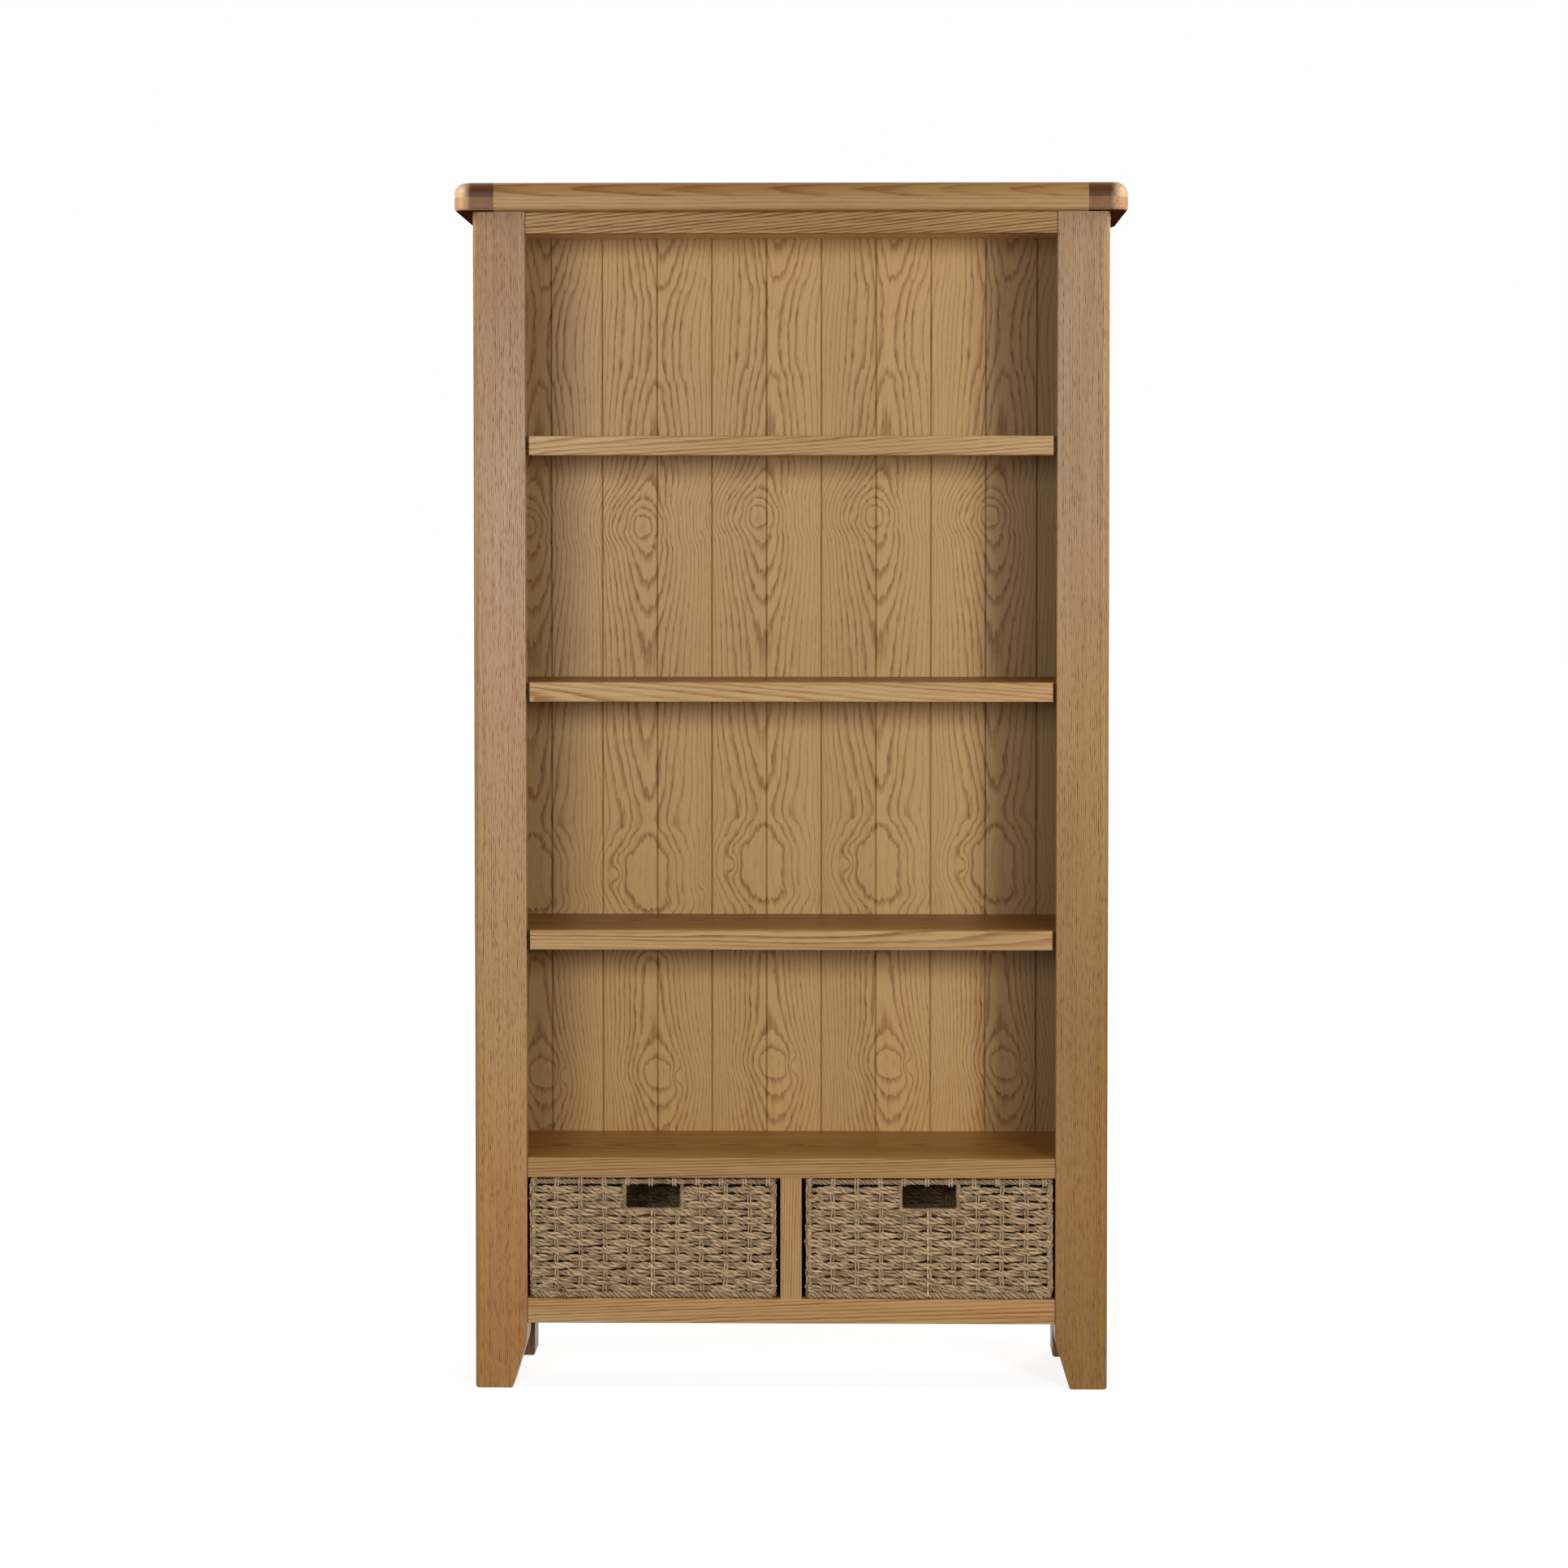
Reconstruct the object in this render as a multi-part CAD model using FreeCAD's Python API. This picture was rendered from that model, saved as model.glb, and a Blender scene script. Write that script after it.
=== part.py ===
import FreeCAD, Part
import os
from FreeCAD import Vector

# A free-standing oak bookcase with three adjustable shelves, a fixed shelf and two baskets.
# Millimetres. The origin is on the floor under the middle of the top, +X to the right,
# +Y to the back and +Z up, so the front faces -Y.

# Overall size and the top
total_height = 1800.0
top_length = 1000.0
top_depth = 350.0
top_upper_thickness = 22.0
top_lower_thickness = 20.0
top_side_overhang = 26.5
top_front_overhang = 25.0
top_rear_overhang = 5.0
top_cleat_width = 60.0
top_strip_width = 90.0
top_corner_radius = 28.0
top_upper_edge_radius = 16.0
top_lower_edge_radius = 5.0

# Corner posts: two stiles at a right angle above the bottom board, a solid foot below it
front_post_width = 78.0
rear_post_width = 70.0
post_depth = 70.0
front_stile_thickness = 24.0
rear_stile_thickness = 20.0
side_stile_thickness = 24.0
post_outer_radius = 9.0
post_arris_radius = 2.0
foot_clear_height = 98.0
foot_taper_height = 72.0
foot_taper_inset = 22.0
foot_taper_easing_radius = 70.0
foot_bottom_radius = 4.0

# Rails
top_front_rail_height = 32.0
top_front_rail_setback = 1.5
fixed_rail_height = 30.0
bottom_front_rail_height = 37.0
wide_rail_height = 60.0
rail_arris_radius = 1.2

# Tenons of the rails, and their mortises
tenon_thickness = 8.0
tenon_length = 18.0
narrow_tenon_shoulder = 6.0
wide_tenon_shoulder = 12.0
tenon_clearance = 0.2
tenon_end_clearance = 0.5

# Side panels, held in grooves
side_panel_thickness = 12.0
side_panel_recess = 6.0
panel_groove_depth = 8.0
panel_groove_clearance = 0.2
panel_end_clearance = 0.6

# Back panel, with a V-groove between its boards
back_panel_thickness = 9.0
back_board_width = 85.3
back_outer_board_width = 79.7
back_inner_board_count = 7
back_groove_width = 3.2
back_groove_depth = 1.8

# Boards of the carcass
carcass_top_thickness = 18.0
basket_bay_height = 182.0
fixed_board_thickness = 20.0
bottom_board_thickness = 20.0
board_fit_clearance = 0.3

# Divider between the baskets
divider_post_width = 32.0
divider_post_depth = 24.0
divider_post_setback = 2.0
divider_panel_thickness = 18.0

# Cleats, guide battens and rear brackets
cleat_width = 18.0
cleat_height = 18.0
guide_width = 15.0
guide_height = 20.0
guide_end_gap = 10.0
bracket_leg = 50.0

# Adjustable shelves: where their tops are between the fixed shelf and the carcass top
shelf_top_shares = (0.7746, 0.5111, 0.2448)
shelf_board_thickness = 20.0
shelf_lipping_height = 29.0
shelf_lipping_depth = 25.0
shelf_front_setback = 2.0
shelf_end_gap = 5.5
shelf_side_clearance = 2.0
shelf_back_clearance = 2.0
shelf_arris_radius = 1.6

# Shelf pins: a shaft in the stile, a back plate against it and a flat tab under the board
pin_radius = 3.0
pin_shaft_length = 9.0
pin_plate_thickness = 1.2
pin_plate_width = 12.0
pin_plate_height = 14.0
pin_tab_length = 13.0
pin_tab_thickness = 2.5
pin_front_inset = 23.0
pin_rear_inset = 20.0
pin_hole_clearance = 0.1
pin_hole_end_clearance = 1.0
pin_hole_pitch = 32.0

# Screws
screw_radius = 2.2
screw_head_radius = 4.4
screw_head_height = 3.0
screw_clearance = 0.1
screw_end_clearance = 1.0
top_screw_length = 32.0
top_screw_places = (120.0, 350.0)
top_screw_inset = 20.0
cleat_screw_length = 32.0
cleat_screw_inset = 24.0

# Baskets: a woven tray with a hand hole, on a wire frame
basket_wall = 10.0
basket_floor = 10.0
basket_corner_radius = 14.0
basket_outer_gap = 3.5
basket_divider_gap = 6.0
basket_front_setback = 3.0
basket_back_gap = 3.0
basket_floor_gap = 0.3
basket_rim_gap = 2.7
hand_hole_width = 82.0
hand_hole_height = 38.0
hand_hole_bridge = 6.0
hand_hole_radius = 3.0
hoop_radius = 2.5
hoop_corner_radius = 12.0
hoop_wall_gap = 0.3
hoop_rim_drop = 0.6
stake_radius = 2.0
stake_corner_distance = 40.0

# One overrun for every cut, and how near two places are to count as one
overrun = 5.0
same_place = 1e-6

# Planes worked out from the sizes above
body_half = top_length / 2 - top_side_overhang
body_front = -top_depth / 2 + top_front_overhang
body_back = top_depth / 2 - top_rear_overhang
carcass_height = total_height - top_upper_thickness - top_lower_thickness
opening_half = body_half - front_post_width
rear_opening_half = body_half - rear_post_width
side_inner = body_half - side_stile_thickness
front_stile_back = body_front + front_stile_thickness
front_post_back = body_front + post_depth
rear_post_front = body_back - post_depth
rear_stile_front = body_back - rear_stile_thickness
back_panel_front = rear_stile_front - back_panel_thickness
bottom_board_top = foot_clear_height + bottom_front_rail_height
bottom_board_bottom = bottom_board_top - bottom_board_thickness
fixed_rail_bottom = bottom_board_top + basket_bay_height
fixed_shelf_top = fixed_rail_bottom + fixed_rail_height
fixed_board_bottom = fixed_shelf_top - fixed_board_thickness
carcass_top_bottom = carcass_height - carcass_top_thickness
shelf_space = carcass_top_bottom - fixed_shelf_top
shelf_tops = [fixed_shelf_top + share * shelf_space for share in shelf_top_shares]
board_half = side_inner - board_fit_clearance
side_panel_outer = body_half - side_panel_recess
side_panel_inner = side_panel_outer - side_panel_thickness
front_pin_y = front_stile_back + pin_front_inset
rear_pin_y = back_panel_front - pin_rear_inset


def block(low, high):
    """A box between two corners."""
    return Part.makeBox(high[0] - low[0], high[1] - low[1], high[2] - low[2], Vector(*low))


def grown(low, high, amount):
    """The same two corners, each moved outwards by amounts along X, Y and Z."""
    wider_low = tuple(value - extra for value, extra in zip(low, amount))
    wider_high = tuple(value + extra for value, extra in zip(high, amount))
    return wider_low, wider_high


def edges_along(shape, axis, **places):
    """Edges parallel to an axis whose middle lies on the given planes."""
    found = []
    for edge in shape.Edges:
        ends = [vertex.Point for vertex in edge.Vertexes]
        if len(ends) < 2 or not isinstance(edge.Curve, Part.Line):
            continue
        run = ends[1] - ends[0]
        sideways = [abs(getattr(run, name)) for name in "xyz" if name != axis]
        middle = (ends[0] + ends[1]) * 0.5
        on_planes = all(abs(getattr(middle, name) - value) < same_place for name, value in places.items())
        if max(sideways) < same_place and on_planes:
            found.append(edge)
    return found


def eased(shape, radius, axis, **places):
    """The shape with the named edges rounded."""
    return shape.makeFillet(radius, edges_along(shape, axis, **places))


def mirrored(shape):
    """The same shape on the other side of the middle plane."""
    return shape.mirror(Vector(0, 0, 0), Vector(1, 0, 0))


def save(name, solids):
    """Write one node, which is one solid or a group of separate ones."""
    shape = solids[0] if len(solids) == 1 else Part.makeCompound(solids)
    shape.exportStep(f"parts/{name}.step")


def save_pair(name, shape):
    """Write a right-hand solid and its left-hand mirror image."""
    save(f"{name}_right", shape.Solids)
    save(f"{name}_left", mirrored(shape).Solids)


def prism(points, run):
    """A straight solid on a closed outline."""
    corners = [Vector(*point) for point in points]
    return Part.Face(Part.makePolygon(corners + corners[:1])).extrude(run)


def tenon(low, high, axis, end, shoulder, side_room, end_room):
    """The tenon at one end of a rail, or its mortise when room is added."""
    along = "xyz".index(axis)
    across = 1 - along
    middle = (low[across] + high[across]) / 2
    half = tenon_thickness / 2 + side_room
    face = high[along] if end > 0 else low[along]
    inner = face - end * side_room
    tip = face + end * (tenon_length + end_room)
    corner_low = [0, 0, low[2] + shoulder - side_room]
    corner_high = [0, 0, high[2] - shoulder + side_room]
    corner_low[across] = middle - half
    corner_high[across] = middle + half
    corner_low[along] = min(inner, tip)
    corner_high[along] = max(inner, tip)
    return block(corner_low, corner_high)


def rail(low, high, axis, shoulder):
    """A rail with a tenon at both ends."""
    body = block(low, high)
    if axis == "x":
        body = eased(body, rail_arris_radius, "x", y=low[1])
    tenons = [tenon(low, high, axis, end, shoulder, 0, 0) for end in (-1, 1)]
    return body.fuse(tenons).removeSplitter()


def mortise(low, high, axis, end, shoulder):
    """The pocket that takes a rail's tenon."""
    return tenon(low, high, axis, end, shoulder, tenon_clearance, tenon_end_clearance)


# Rails as their two corners, the way they run and the shoulder of their tenons
front_rails = {
    "top_front_rail": (
        (-opening_half, body_front + top_front_rail_setback, carcass_height - top_front_rail_height),
        (opening_half, front_stile_back, carcass_height),
        "x",
        narrow_tenon_shoulder,
    ),
    "fixed_shelf_rail": (
        (-opening_half, body_front, fixed_rail_bottom),
        (opening_half, front_stile_back, fixed_shelf_top),
        "x",
        narrow_tenon_shoulder,
    ),
    "bottom_front_rail": (
        (-opening_half, body_front, foot_clear_height),
        (opening_half, front_stile_back, bottom_board_top),
        "x",
        narrow_tenon_shoulder,
    ),
}
rear_rails = {
    "top_rear_rail": (
        (-rear_opening_half, rear_stile_front, carcass_height - wide_rail_height),
        (rear_opening_half, body_back, carcass_height),
        "x",
        wide_tenon_shoulder,
    ),
    "bottom_rear_rail": (
        (-rear_opening_half, rear_stile_front, foot_clear_height),
        (rear_opening_half, body_back, foot_clear_height + wide_rail_height),
        "x",
        wide_tenon_shoulder,
    ),
}
side_rails = {
    "side_top_rail": (
        (side_inner, front_post_back, carcass_height - wide_rail_height),
        (body_half, rear_post_front, carcass_height),
        "y",
        wide_tenon_shoulder,
    ),
    "side_bottom_rail": (
        (side_inner, front_post_back, foot_clear_height),
        (body_half, rear_post_front, foot_clear_height + wide_rail_height),
        "y",
        wide_tenon_shoulder,
    ),
}


def panel_corners():
    """The right side panel, from groove bottom to groove bottom less its clearance."""
    reach = panel_groove_depth - panel_end_clearance
    low = (
        side_panel_inner,
        front_post_back - reach,
        foot_clear_height + wide_rail_height - reach,
    )
    high = (
        side_panel_outer,
        rear_post_front + reach,
        carcass_height - wide_rail_height + reach,
    )
    return low, high


def panel_groove():
    """What the right side panel needs cut from the posts and rails around it."""
    room = (panel_groove_clearance, panel_end_clearance, panel_end_clearance)
    return block(*grown(*panel_corners(), room))


def pin_holes(y):
    """Three holes for each shelf in the right-hand stile, one above the other."""
    holes = []
    for top in shelf_tops:
        height = top - shelf_board_thickness - pin_radius
        for step in (-1, 0, 1):
            place = Vector(side_inner - overrun, y, height + step * pin_hole_pitch)
            depth = pin_shaft_length + pin_hole_end_clearance + overrun
            radius = pin_radius + pin_hole_clearance
            holes.append(Part.makeCylinder(radius, depth, place, Vector(1, 0, 0)))
    return holes


def screw(place, direction, length, room=0, end_room=0):
    """A countersunk screw with its head's face at a place, or the hole for it when room is added."""
    head = Part.makeCone(screw_head_radius + room, screw_radius + room, screw_head_height, place, direction)
    shank = Part.makeCylinder(screw_radius + room, length + end_room, place, direction)
    return head.fuse(shank).removeSplitter()


def cleat_screws(height, y_places):
    """Screws through a right-hand cleat into what it is fixed to."""
    face = side_inner - cleat_width
    return [(Vector(face, y, height), Vector(1, 0, 0), cleat_screw_length) for y in y_places]


fixed_cleat_screws = cleat_screws(fixed_board_bottom - cleat_height / 2, (front_pin_y, rear_pin_y))
bottom_cleat_screws = cleat_screws(
    bottom_board_bottom - cleat_height / 2 + board_fit_clearance,
    (front_post_back + cleat_screw_inset, rear_post_front - cleat_screw_inset),
)


def screw_holes(screws):
    """Clearance holes for a list of screws."""
    return [screw(*each, screw_clearance, screw_end_clearance) for each in screws]


def front_post():
    """The right front post: stiles at a right angle, over a foot that tapers inwards."""
    column = block((opening_half, body_front, 0), (body_half, front_post_back, carcass_height))
    column = eased(column, post_outer_radius, "z", x=body_half, y=body_front)
    column = eased(column, post_arris_radius, "z", x=opening_half, y=body_front)
    outline = [
        (opening_half + foot_taper_inset, body_front, 0),
        (body_half, body_front, 0),
        (body_half, body_front, carcass_height),
        (opening_half, body_front, carcass_height),
        (opening_half, body_front, foot_taper_height),
    ]
    side = prism(outline, Vector(0, post_depth, 0))
    side = eased(side, foot_taper_easing_radius, "y", x=opening_half, z=foot_taper_height)
    side = eased(side, foot_bottom_radius, "y", z=0)
    post = column.common(side)
    corner = block(
        (opening_half - overrun, front_stile_back, bottom_board_bottom),
        (side_inner, front_post_back + overrun, carcass_height + overrun),
    )
    cuts = [corner, panel_groove()]
    cuts += [mortise(low, high, axis, 1, edge) for low, high, axis, edge in front_rails.values()]
    cuts += [mortise(low, high, axis, -1, edge) for low, high, axis, edge in side_rails.values()]
    cuts += pin_holes(front_pin_y)
    cuts += screw_holes(fixed_cleat_screws)
    return post.cut(cuts)


def rear_post():
    """The right rear post, with a straight foot."""
    post = block((rear_opening_half, rear_post_front, 0), (body_half, body_back, carcass_height))
    post = eased(post, post_arris_radius, "z", x=body_half, y=body_back)
    post = eased(post, foot_bottom_radius, "y", z=0)
    corner = block(
        (rear_opening_half - overrun, rear_post_front - overrun, bottom_board_bottom),
        (side_inner, rear_stile_front, carcass_height + overrun),
    )
    cuts = [corner, panel_groove()]
    cuts += [mortise(low, high, axis, 1, edge) for low, high, axis, edge in rear_rails.values()]
    cuts += [mortise(low, high, axis, 1, edge) for low, high, axis, edge in side_rails.values()]
    cuts += pin_holes(rear_pin_y)
    cuts += screw_holes(fixed_cleat_screws)
    return post.cut(cuts)


def carcass_screws():
    """Screws up through the carcass top board into the strips of the top."""
    front_y = front_stile_back + top_screw_inset
    rear_y = top_depth / 2 - top_strip_width + top_screw_inset
    places = []
    for x in top_screw_places:
        for y in (front_y, rear_y):
            for side in (-1, 1):
                places.append((Vector(side * x, y, carcass_top_bottom), Vector(0, 0, 1), top_screw_length))
    return places


def make_top():
    """The top: an upper and a lower layer, each of long grain between end-grain cleats."""
    half = top_length / 2
    front = -top_depth / 2
    back = top_depth / 2
    slab = block((-half, front, carcass_height), (half, back, total_height))
    for x in (-half, half):
        for y in (front, back):
            slab = eased(slab, top_corner_radius, "z", x=x, y=y)
    rim = [edge for edge in slab.Edges if edge.BoundBox.ZMin > total_height - top_upper_thickness]
    slab = slab.makeFillet(top_upper_edge_radius, rim)
    rim = [edge for edge in slab.Edges if edge.BoundBox.ZMax < carcass_height + top_lower_edge_radius]
    slab = slab.makeFillet(top_lower_edge_radius, rim)
    joint = total_height - top_upper_thickness
    inner = half - top_cleat_width
    pieces = {
        "top_board": ((-inner, front, joint), (inner, back, total_height)),
        "top_cleat_left": ((-half, front, joint), (-inner, back, total_height)),
        "top_cleat_right": ((inner, front, joint), (half, back, total_height)),
        "top_under_cleat_left": ((-half, front, carcass_height), (-inner, back, joint)),
        "top_under_cleat_right": ((inner, front, carcass_height), (half, back, joint)),
        "top_under_strip_front": (
            (-inner, front, carcass_height),
            (inner, front + top_strip_width, joint),
        ),
        "top_under_strip_rear": (
            (-inner, back - top_strip_width, carcass_height),
            (inner, back, joint),
        ),
    }
    holes = screw_holes(carcass_screws())
    for name, corners in pieces.items():
        save(name, slab.common(block(*corners)).cut(holes).Solids)


def make_rails():
    """Front, rear and side rails."""
    for name, corners in {**front_rails, **rear_rails}.items():
        save(name, rail(*corners).Solids)
    groove = panel_groove()
    for name, corners in side_rails.items():
        save_pair(name, rail(*corners).cut([groove] + screw_holes(bottom_cleat_screws)))


def make_back_panel():
    """The back panel, grooved where its boards meet."""
    panel = block(
        (-board_half, back_panel_front, bottom_board_top),
        (board_half, rear_stile_front, carcass_top_bottom),
    )
    first = -back_inner_board_count * back_board_width / 2
    places = [first + step * back_board_width for step in range(back_inner_board_count + 1)]
    places = [first - back_outer_board_width] + places + [-first + back_outer_board_width]
    half = back_groove_width / 2
    grooves = []
    for x in places:
        outline = [
            (x - half, back_panel_front, bottom_board_top),
            (x, back_panel_front + back_groove_depth, bottom_board_top),
            (x + half, back_panel_front, bottom_board_top),
        ]
        run = Vector(0, 0, carcass_top_bottom - bottom_board_top)
        grooves.append(prism(outline, run))
    save("back_panel", panel.cut(grooves).Solids)


def make_boards():
    """The carcass top, the fixed shelf and the bottom board."""
    carcass_top = block(
        (-board_half, front_stile_back, carcass_top_bottom),
        (board_half, rear_stile_front, carcass_height),
    )
    save("carcass_top", carcass_top.cut(screw_holes(carcass_screws())).Solids)
    fixed_board = block(
        (-board_half, front_stile_back, fixed_board_bottom),
        (board_half, back_panel_front, fixed_shelf_top),
    )
    save("fixed_shelf_board", fixed_board.Solids)
    bottom_board = block(
        (-board_half, front_stile_back, bottom_board_bottom),
        (board_half, rear_stile_front, bottom_board_top),
    )
    save("bottom_board", bottom_board.Solids)


def make_divider():
    """The upright between the baskets and the panel behind it."""
    front = body_front + divider_post_setback
    half = divider_post_width / 2
    post = block(
        (-half, front, bottom_board_top),
        (half, front + divider_post_depth, fixed_rail_bottom),
    )
    post = eased(post, rail_arris_radius, "z", y=front)
    save("divider_post", post.Solids)
    half = divider_panel_thickness / 2
    panel = block(
        (-half, front + divider_post_depth, bottom_board_top),
        (half, back_panel_front, fixed_board_bottom),
    )
    save("divider_panel", panel.Solids)


def make_cleats():
    """Cleats under the boards, guide battens for the baskets and brackets at the rear feet."""
    fixed_cleat = block(
        (side_inner - cleat_width, front_stile_back, fixed_board_bottom - cleat_height),
        (side_inner, back_panel_front, fixed_board_bottom),
    )
    save_pair("fixed_shelf_cleat", fixed_cleat.cut(screw_holes(fixed_cleat_screws)))
    bottom_cleat = block(
        (side_inner - cleat_width, front_post_back, bottom_board_bottom - cleat_height),
        (side_inner, rear_post_front, bottom_board_bottom),
    )
    save_pair("bottom_cleat", bottom_cleat.cut(screw_holes(bottom_cleat_screws)))
    guide = block(
        (opening_half, front_stile_back + guide_end_gap, bottom_board_top),
        (opening_half + guide_width, back_panel_front - guide_end_gap, bottom_board_top + guide_height),
    )
    save_pair("basket_guide", guide)
    outline = [
        (rear_opening_half, rear_stile_front, foot_clear_height),
        (rear_opening_half, rear_stile_front, foot_clear_height - bracket_leg),
        (rear_opening_half - bracket_leg, rear_stile_front, foot_clear_height),
    ]
    save_pair("rear_bracket", prism(outline, Vector(0, rear_stile_thickness, 0)))


def make_screws():
    """The screws of the top and of the cleats."""
    save("top_screws", [screw(*each) for each in carcass_screws()])
    right = [screw(*each) for each in fixed_cleat_screws + bottom_cleat_screws]
    save("cleat_screws", right + [mirrored(each) for each in right])


def make_shelf(number, top):
    """One adjustable shelf: a board behind the stiles and a lipping between them."""
    front = body_front + shelf_front_setback
    joint = front + shelf_lipping_depth
    board_reach = side_inner - shelf_side_clearance
    board = block(
        (-board_reach, joint, top - shelf_board_thickness),
        (board_reach, back_panel_front - shelf_back_clearance, top),
    )
    save(f"shelf_{number}_board", board.Solids)
    lipping_reach = opening_half - shelf_end_gap
    lipping = block(
        (-lipping_reach, front, top - shelf_lipping_height),
        (lipping_reach, joint, top),
    )
    lipping = eased(lipping, shelf_arris_radius, "x", y=front)
    save(f"shelf_{number}_lipping", lipping.Solids)


def make_pins(number, top):
    """Four shelf pins, whose tabs carry the board."""
    seat = top - shelf_board_thickness
    plate_face = side_inner - pin_plate_thickness
    right = []
    for y in (front_pin_y, rear_pin_y):
        shaft_start = Vector(plate_face, y, seat - pin_radius)
        shaft_length = pin_plate_thickness + pin_shaft_length
        shaft = Part.makeCylinder(pin_radius, shaft_length, shaft_start, Vector(1, 0, 0))
        plate = block(
            (plate_face, y - pin_plate_width / 2, seat - pin_plate_height),
            (side_inner, y + pin_plate_width / 2, seat),
        )
        tab = block(
            (plate_face - pin_tab_length, y - pin_plate_width / 2, seat - pin_tab_thickness),
            (plate_face, y + pin_plate_width / 2, seat),
        )
        right.append(shaft.fuse([plate, tab]).removeSplitter())
    save(f"shelf_pins_{number}", right + [mirrored(each) for each in right])


def basket_corners():
    """The outer corners of the right basket."""
    low = (
        divider_post_width / 2 + basket_divider_gap,
        body_front + basket_front_setback,
        bottom_board_top + basket_floor_gap,
    )
    high = (
        opening_half - basket_outer_gap,
        back_panel_front - basket_back_gap,
        fixed_rail_bottom - basket_rim_gap,
    )
    return low, high


def make_basket():
    """The woven tray: four walls and a floor, with a hand hole under the rim in front."""
    low, high = basket_corners()
    tray = block(low, high)
    for x in (low[0], high[0]):
        for y in (low[1], high[1]):
            tray = eased(tray, basket_corner_radius, "z", x=x, y=y)
    inner_low = (low[0] + basket_wall, low[1] + basket_wall, low[2] + basket_floor)
    inner_high = (high[0] - basket_wall, high[1] - basket_wall, high[2] + overrun)
    hollow = block(inner_low, inner_high)
    for x in (inner_low[0], inner_high[0]):
        for y in (inner_low[1], inner_high[1]):
            hollow = eased(hollow, basket_corner_radius - basket_wall, "z", x=x, y=y)
    middle = (low[0] + high[0]) / 2
    hole_top = high[2] - hand_hole_bridge
    hole = block(
        (middle - hand_hole_width / 2, low[1] - overrun, hole_top - hand_hole_height),
        (middle + hand_hole_width / 2, low[1] + basket_wall + overrun, hole_top),
    )
    hole = hole.makeFillet(hand_hole_radius, edges_along(hole, "y"))
    save_pair("basket_weave", tray.cut([hollow, hole]))


def hoop(low, high, height):
    """A closed wire hoop with rounded corners, from a swept circle."""
    radius = hoop_corner_radius
    x0, y0 = low
    x1, y1 = high
    bend = radius - radius * 0.5 ** 0.5
    corners = [
        ((x1 - radius, y0), (x1 - bend, y0 + bend), (x1, y0 + radius)),
        ((x1, y1 - radius), (x1 - bend, y1 - bend), (x1 - radius, y1)),
        ((x0 + radius, y1), (x0 + bend, y1 - bend), (x0, y1 - radius)),
        ((x0, y0 + radius), (x0 + bend, y0 + bend), (x0 + radius, y0)),
    ]
    edges = []
    for place, (start, middle, end) in enumerate(corners):
        arc = Part.Arc(*[Vector(x, y, height) for x, y in (start, middle, end)])
        following = corners[(place + 1) % len(corners)][0]
        edges.append(arc.toShape())
        edges.append(Part.makeLine(Vector(*end, height), Vector(*following, height)))
    path = Part.Wire(edges)
    start = Vector(*corners[0][0], height)
    section = Part.Wire(Part.makeCircle(hoop_radius, start, Vector(1, 0, 0)))
    return path.makePipeShell([section], True, False)


def make_basket_frame():
    """The wire frame inside the tray: a hoop at the rim, one on the floor, and stakes between."""
    low, high = basket_corners()
    inset = basket_wall + hoop_wall_gap + hoop_radius
    x0 = low[0] + inset
    x1 = high[0] - inset
    y0 = low[1] + inset
    y1 = high[1] - inset
    lower = low[2] + basket_floor + hoop_wall_gap + hoop_radius
    upper = high[2] - hoop_rim_drop - hoop_radius
    frame = [hoop((x0, y0), (x1, y1), height) for height in (lower, upper)]
    places = []
    for x in (x0 + stake_corner_distance, x1 - stake_corner_distance):
        places += [(x, y0), (x, y1)]
    for y in (y0 + stake_corner_distance, y1 - stake_corner_distance):
        places += [(x0, y), (x1, y)]
    stakes = [Part.makeCylinder(stake_radius, upper - lower, Vector(x, y, lower)) for x, y in places]
    save_pair("basket_frame", frame[0].fuse(frame[1:] + stakes))


os.makedirs("parts", exist_ok=True)
make_top()
save_pair("front_post", front_post())
save_pair("rear_post", rear_post())
make_rails()
save_pair("side_panel", block(*panel_corners()))
make_back_panel()
make_boards()
make_divider()
make_cleats()
make_screws()
for shelf_number, shelf_top in enumerate(shelf_tops, start=1):
    make_shelf(shelf_number, shelf_top)
    make_pins(shelf_number, shelf_top)
make_basket()
make_basket_frame()
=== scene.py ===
"""Finishes for a packed oak bookcase: growth rings on every board, twisted seagrass baskets, pale studio."""

import math

import bpy
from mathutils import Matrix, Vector


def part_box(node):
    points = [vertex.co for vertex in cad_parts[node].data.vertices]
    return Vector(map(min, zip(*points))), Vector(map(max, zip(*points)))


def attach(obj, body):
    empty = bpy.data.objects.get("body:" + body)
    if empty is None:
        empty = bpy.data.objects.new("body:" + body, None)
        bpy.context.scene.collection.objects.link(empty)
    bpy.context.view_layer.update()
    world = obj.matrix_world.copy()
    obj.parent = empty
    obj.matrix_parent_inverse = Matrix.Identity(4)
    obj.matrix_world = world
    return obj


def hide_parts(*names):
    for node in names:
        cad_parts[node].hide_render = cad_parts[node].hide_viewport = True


bl_info = {
    "name": "Oak bookcase finishes",
    "version": (1, 0, 0),
    "blender": (4, 5, 0),
    "location": "View3D > Sidebar > Bookcase",
    "description": "Dresses a packed oak bookcase and its two woven baskets",
    "category": "Object",
}

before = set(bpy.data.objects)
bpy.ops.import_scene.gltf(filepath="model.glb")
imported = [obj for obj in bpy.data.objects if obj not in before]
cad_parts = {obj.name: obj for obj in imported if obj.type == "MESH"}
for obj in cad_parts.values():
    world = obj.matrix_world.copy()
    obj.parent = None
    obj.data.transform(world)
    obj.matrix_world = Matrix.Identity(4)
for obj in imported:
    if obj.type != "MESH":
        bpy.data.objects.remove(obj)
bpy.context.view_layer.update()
SIDES = ("left", "right")
SHELVES = ("1", "2", "3")
MM = 0.001


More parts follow.
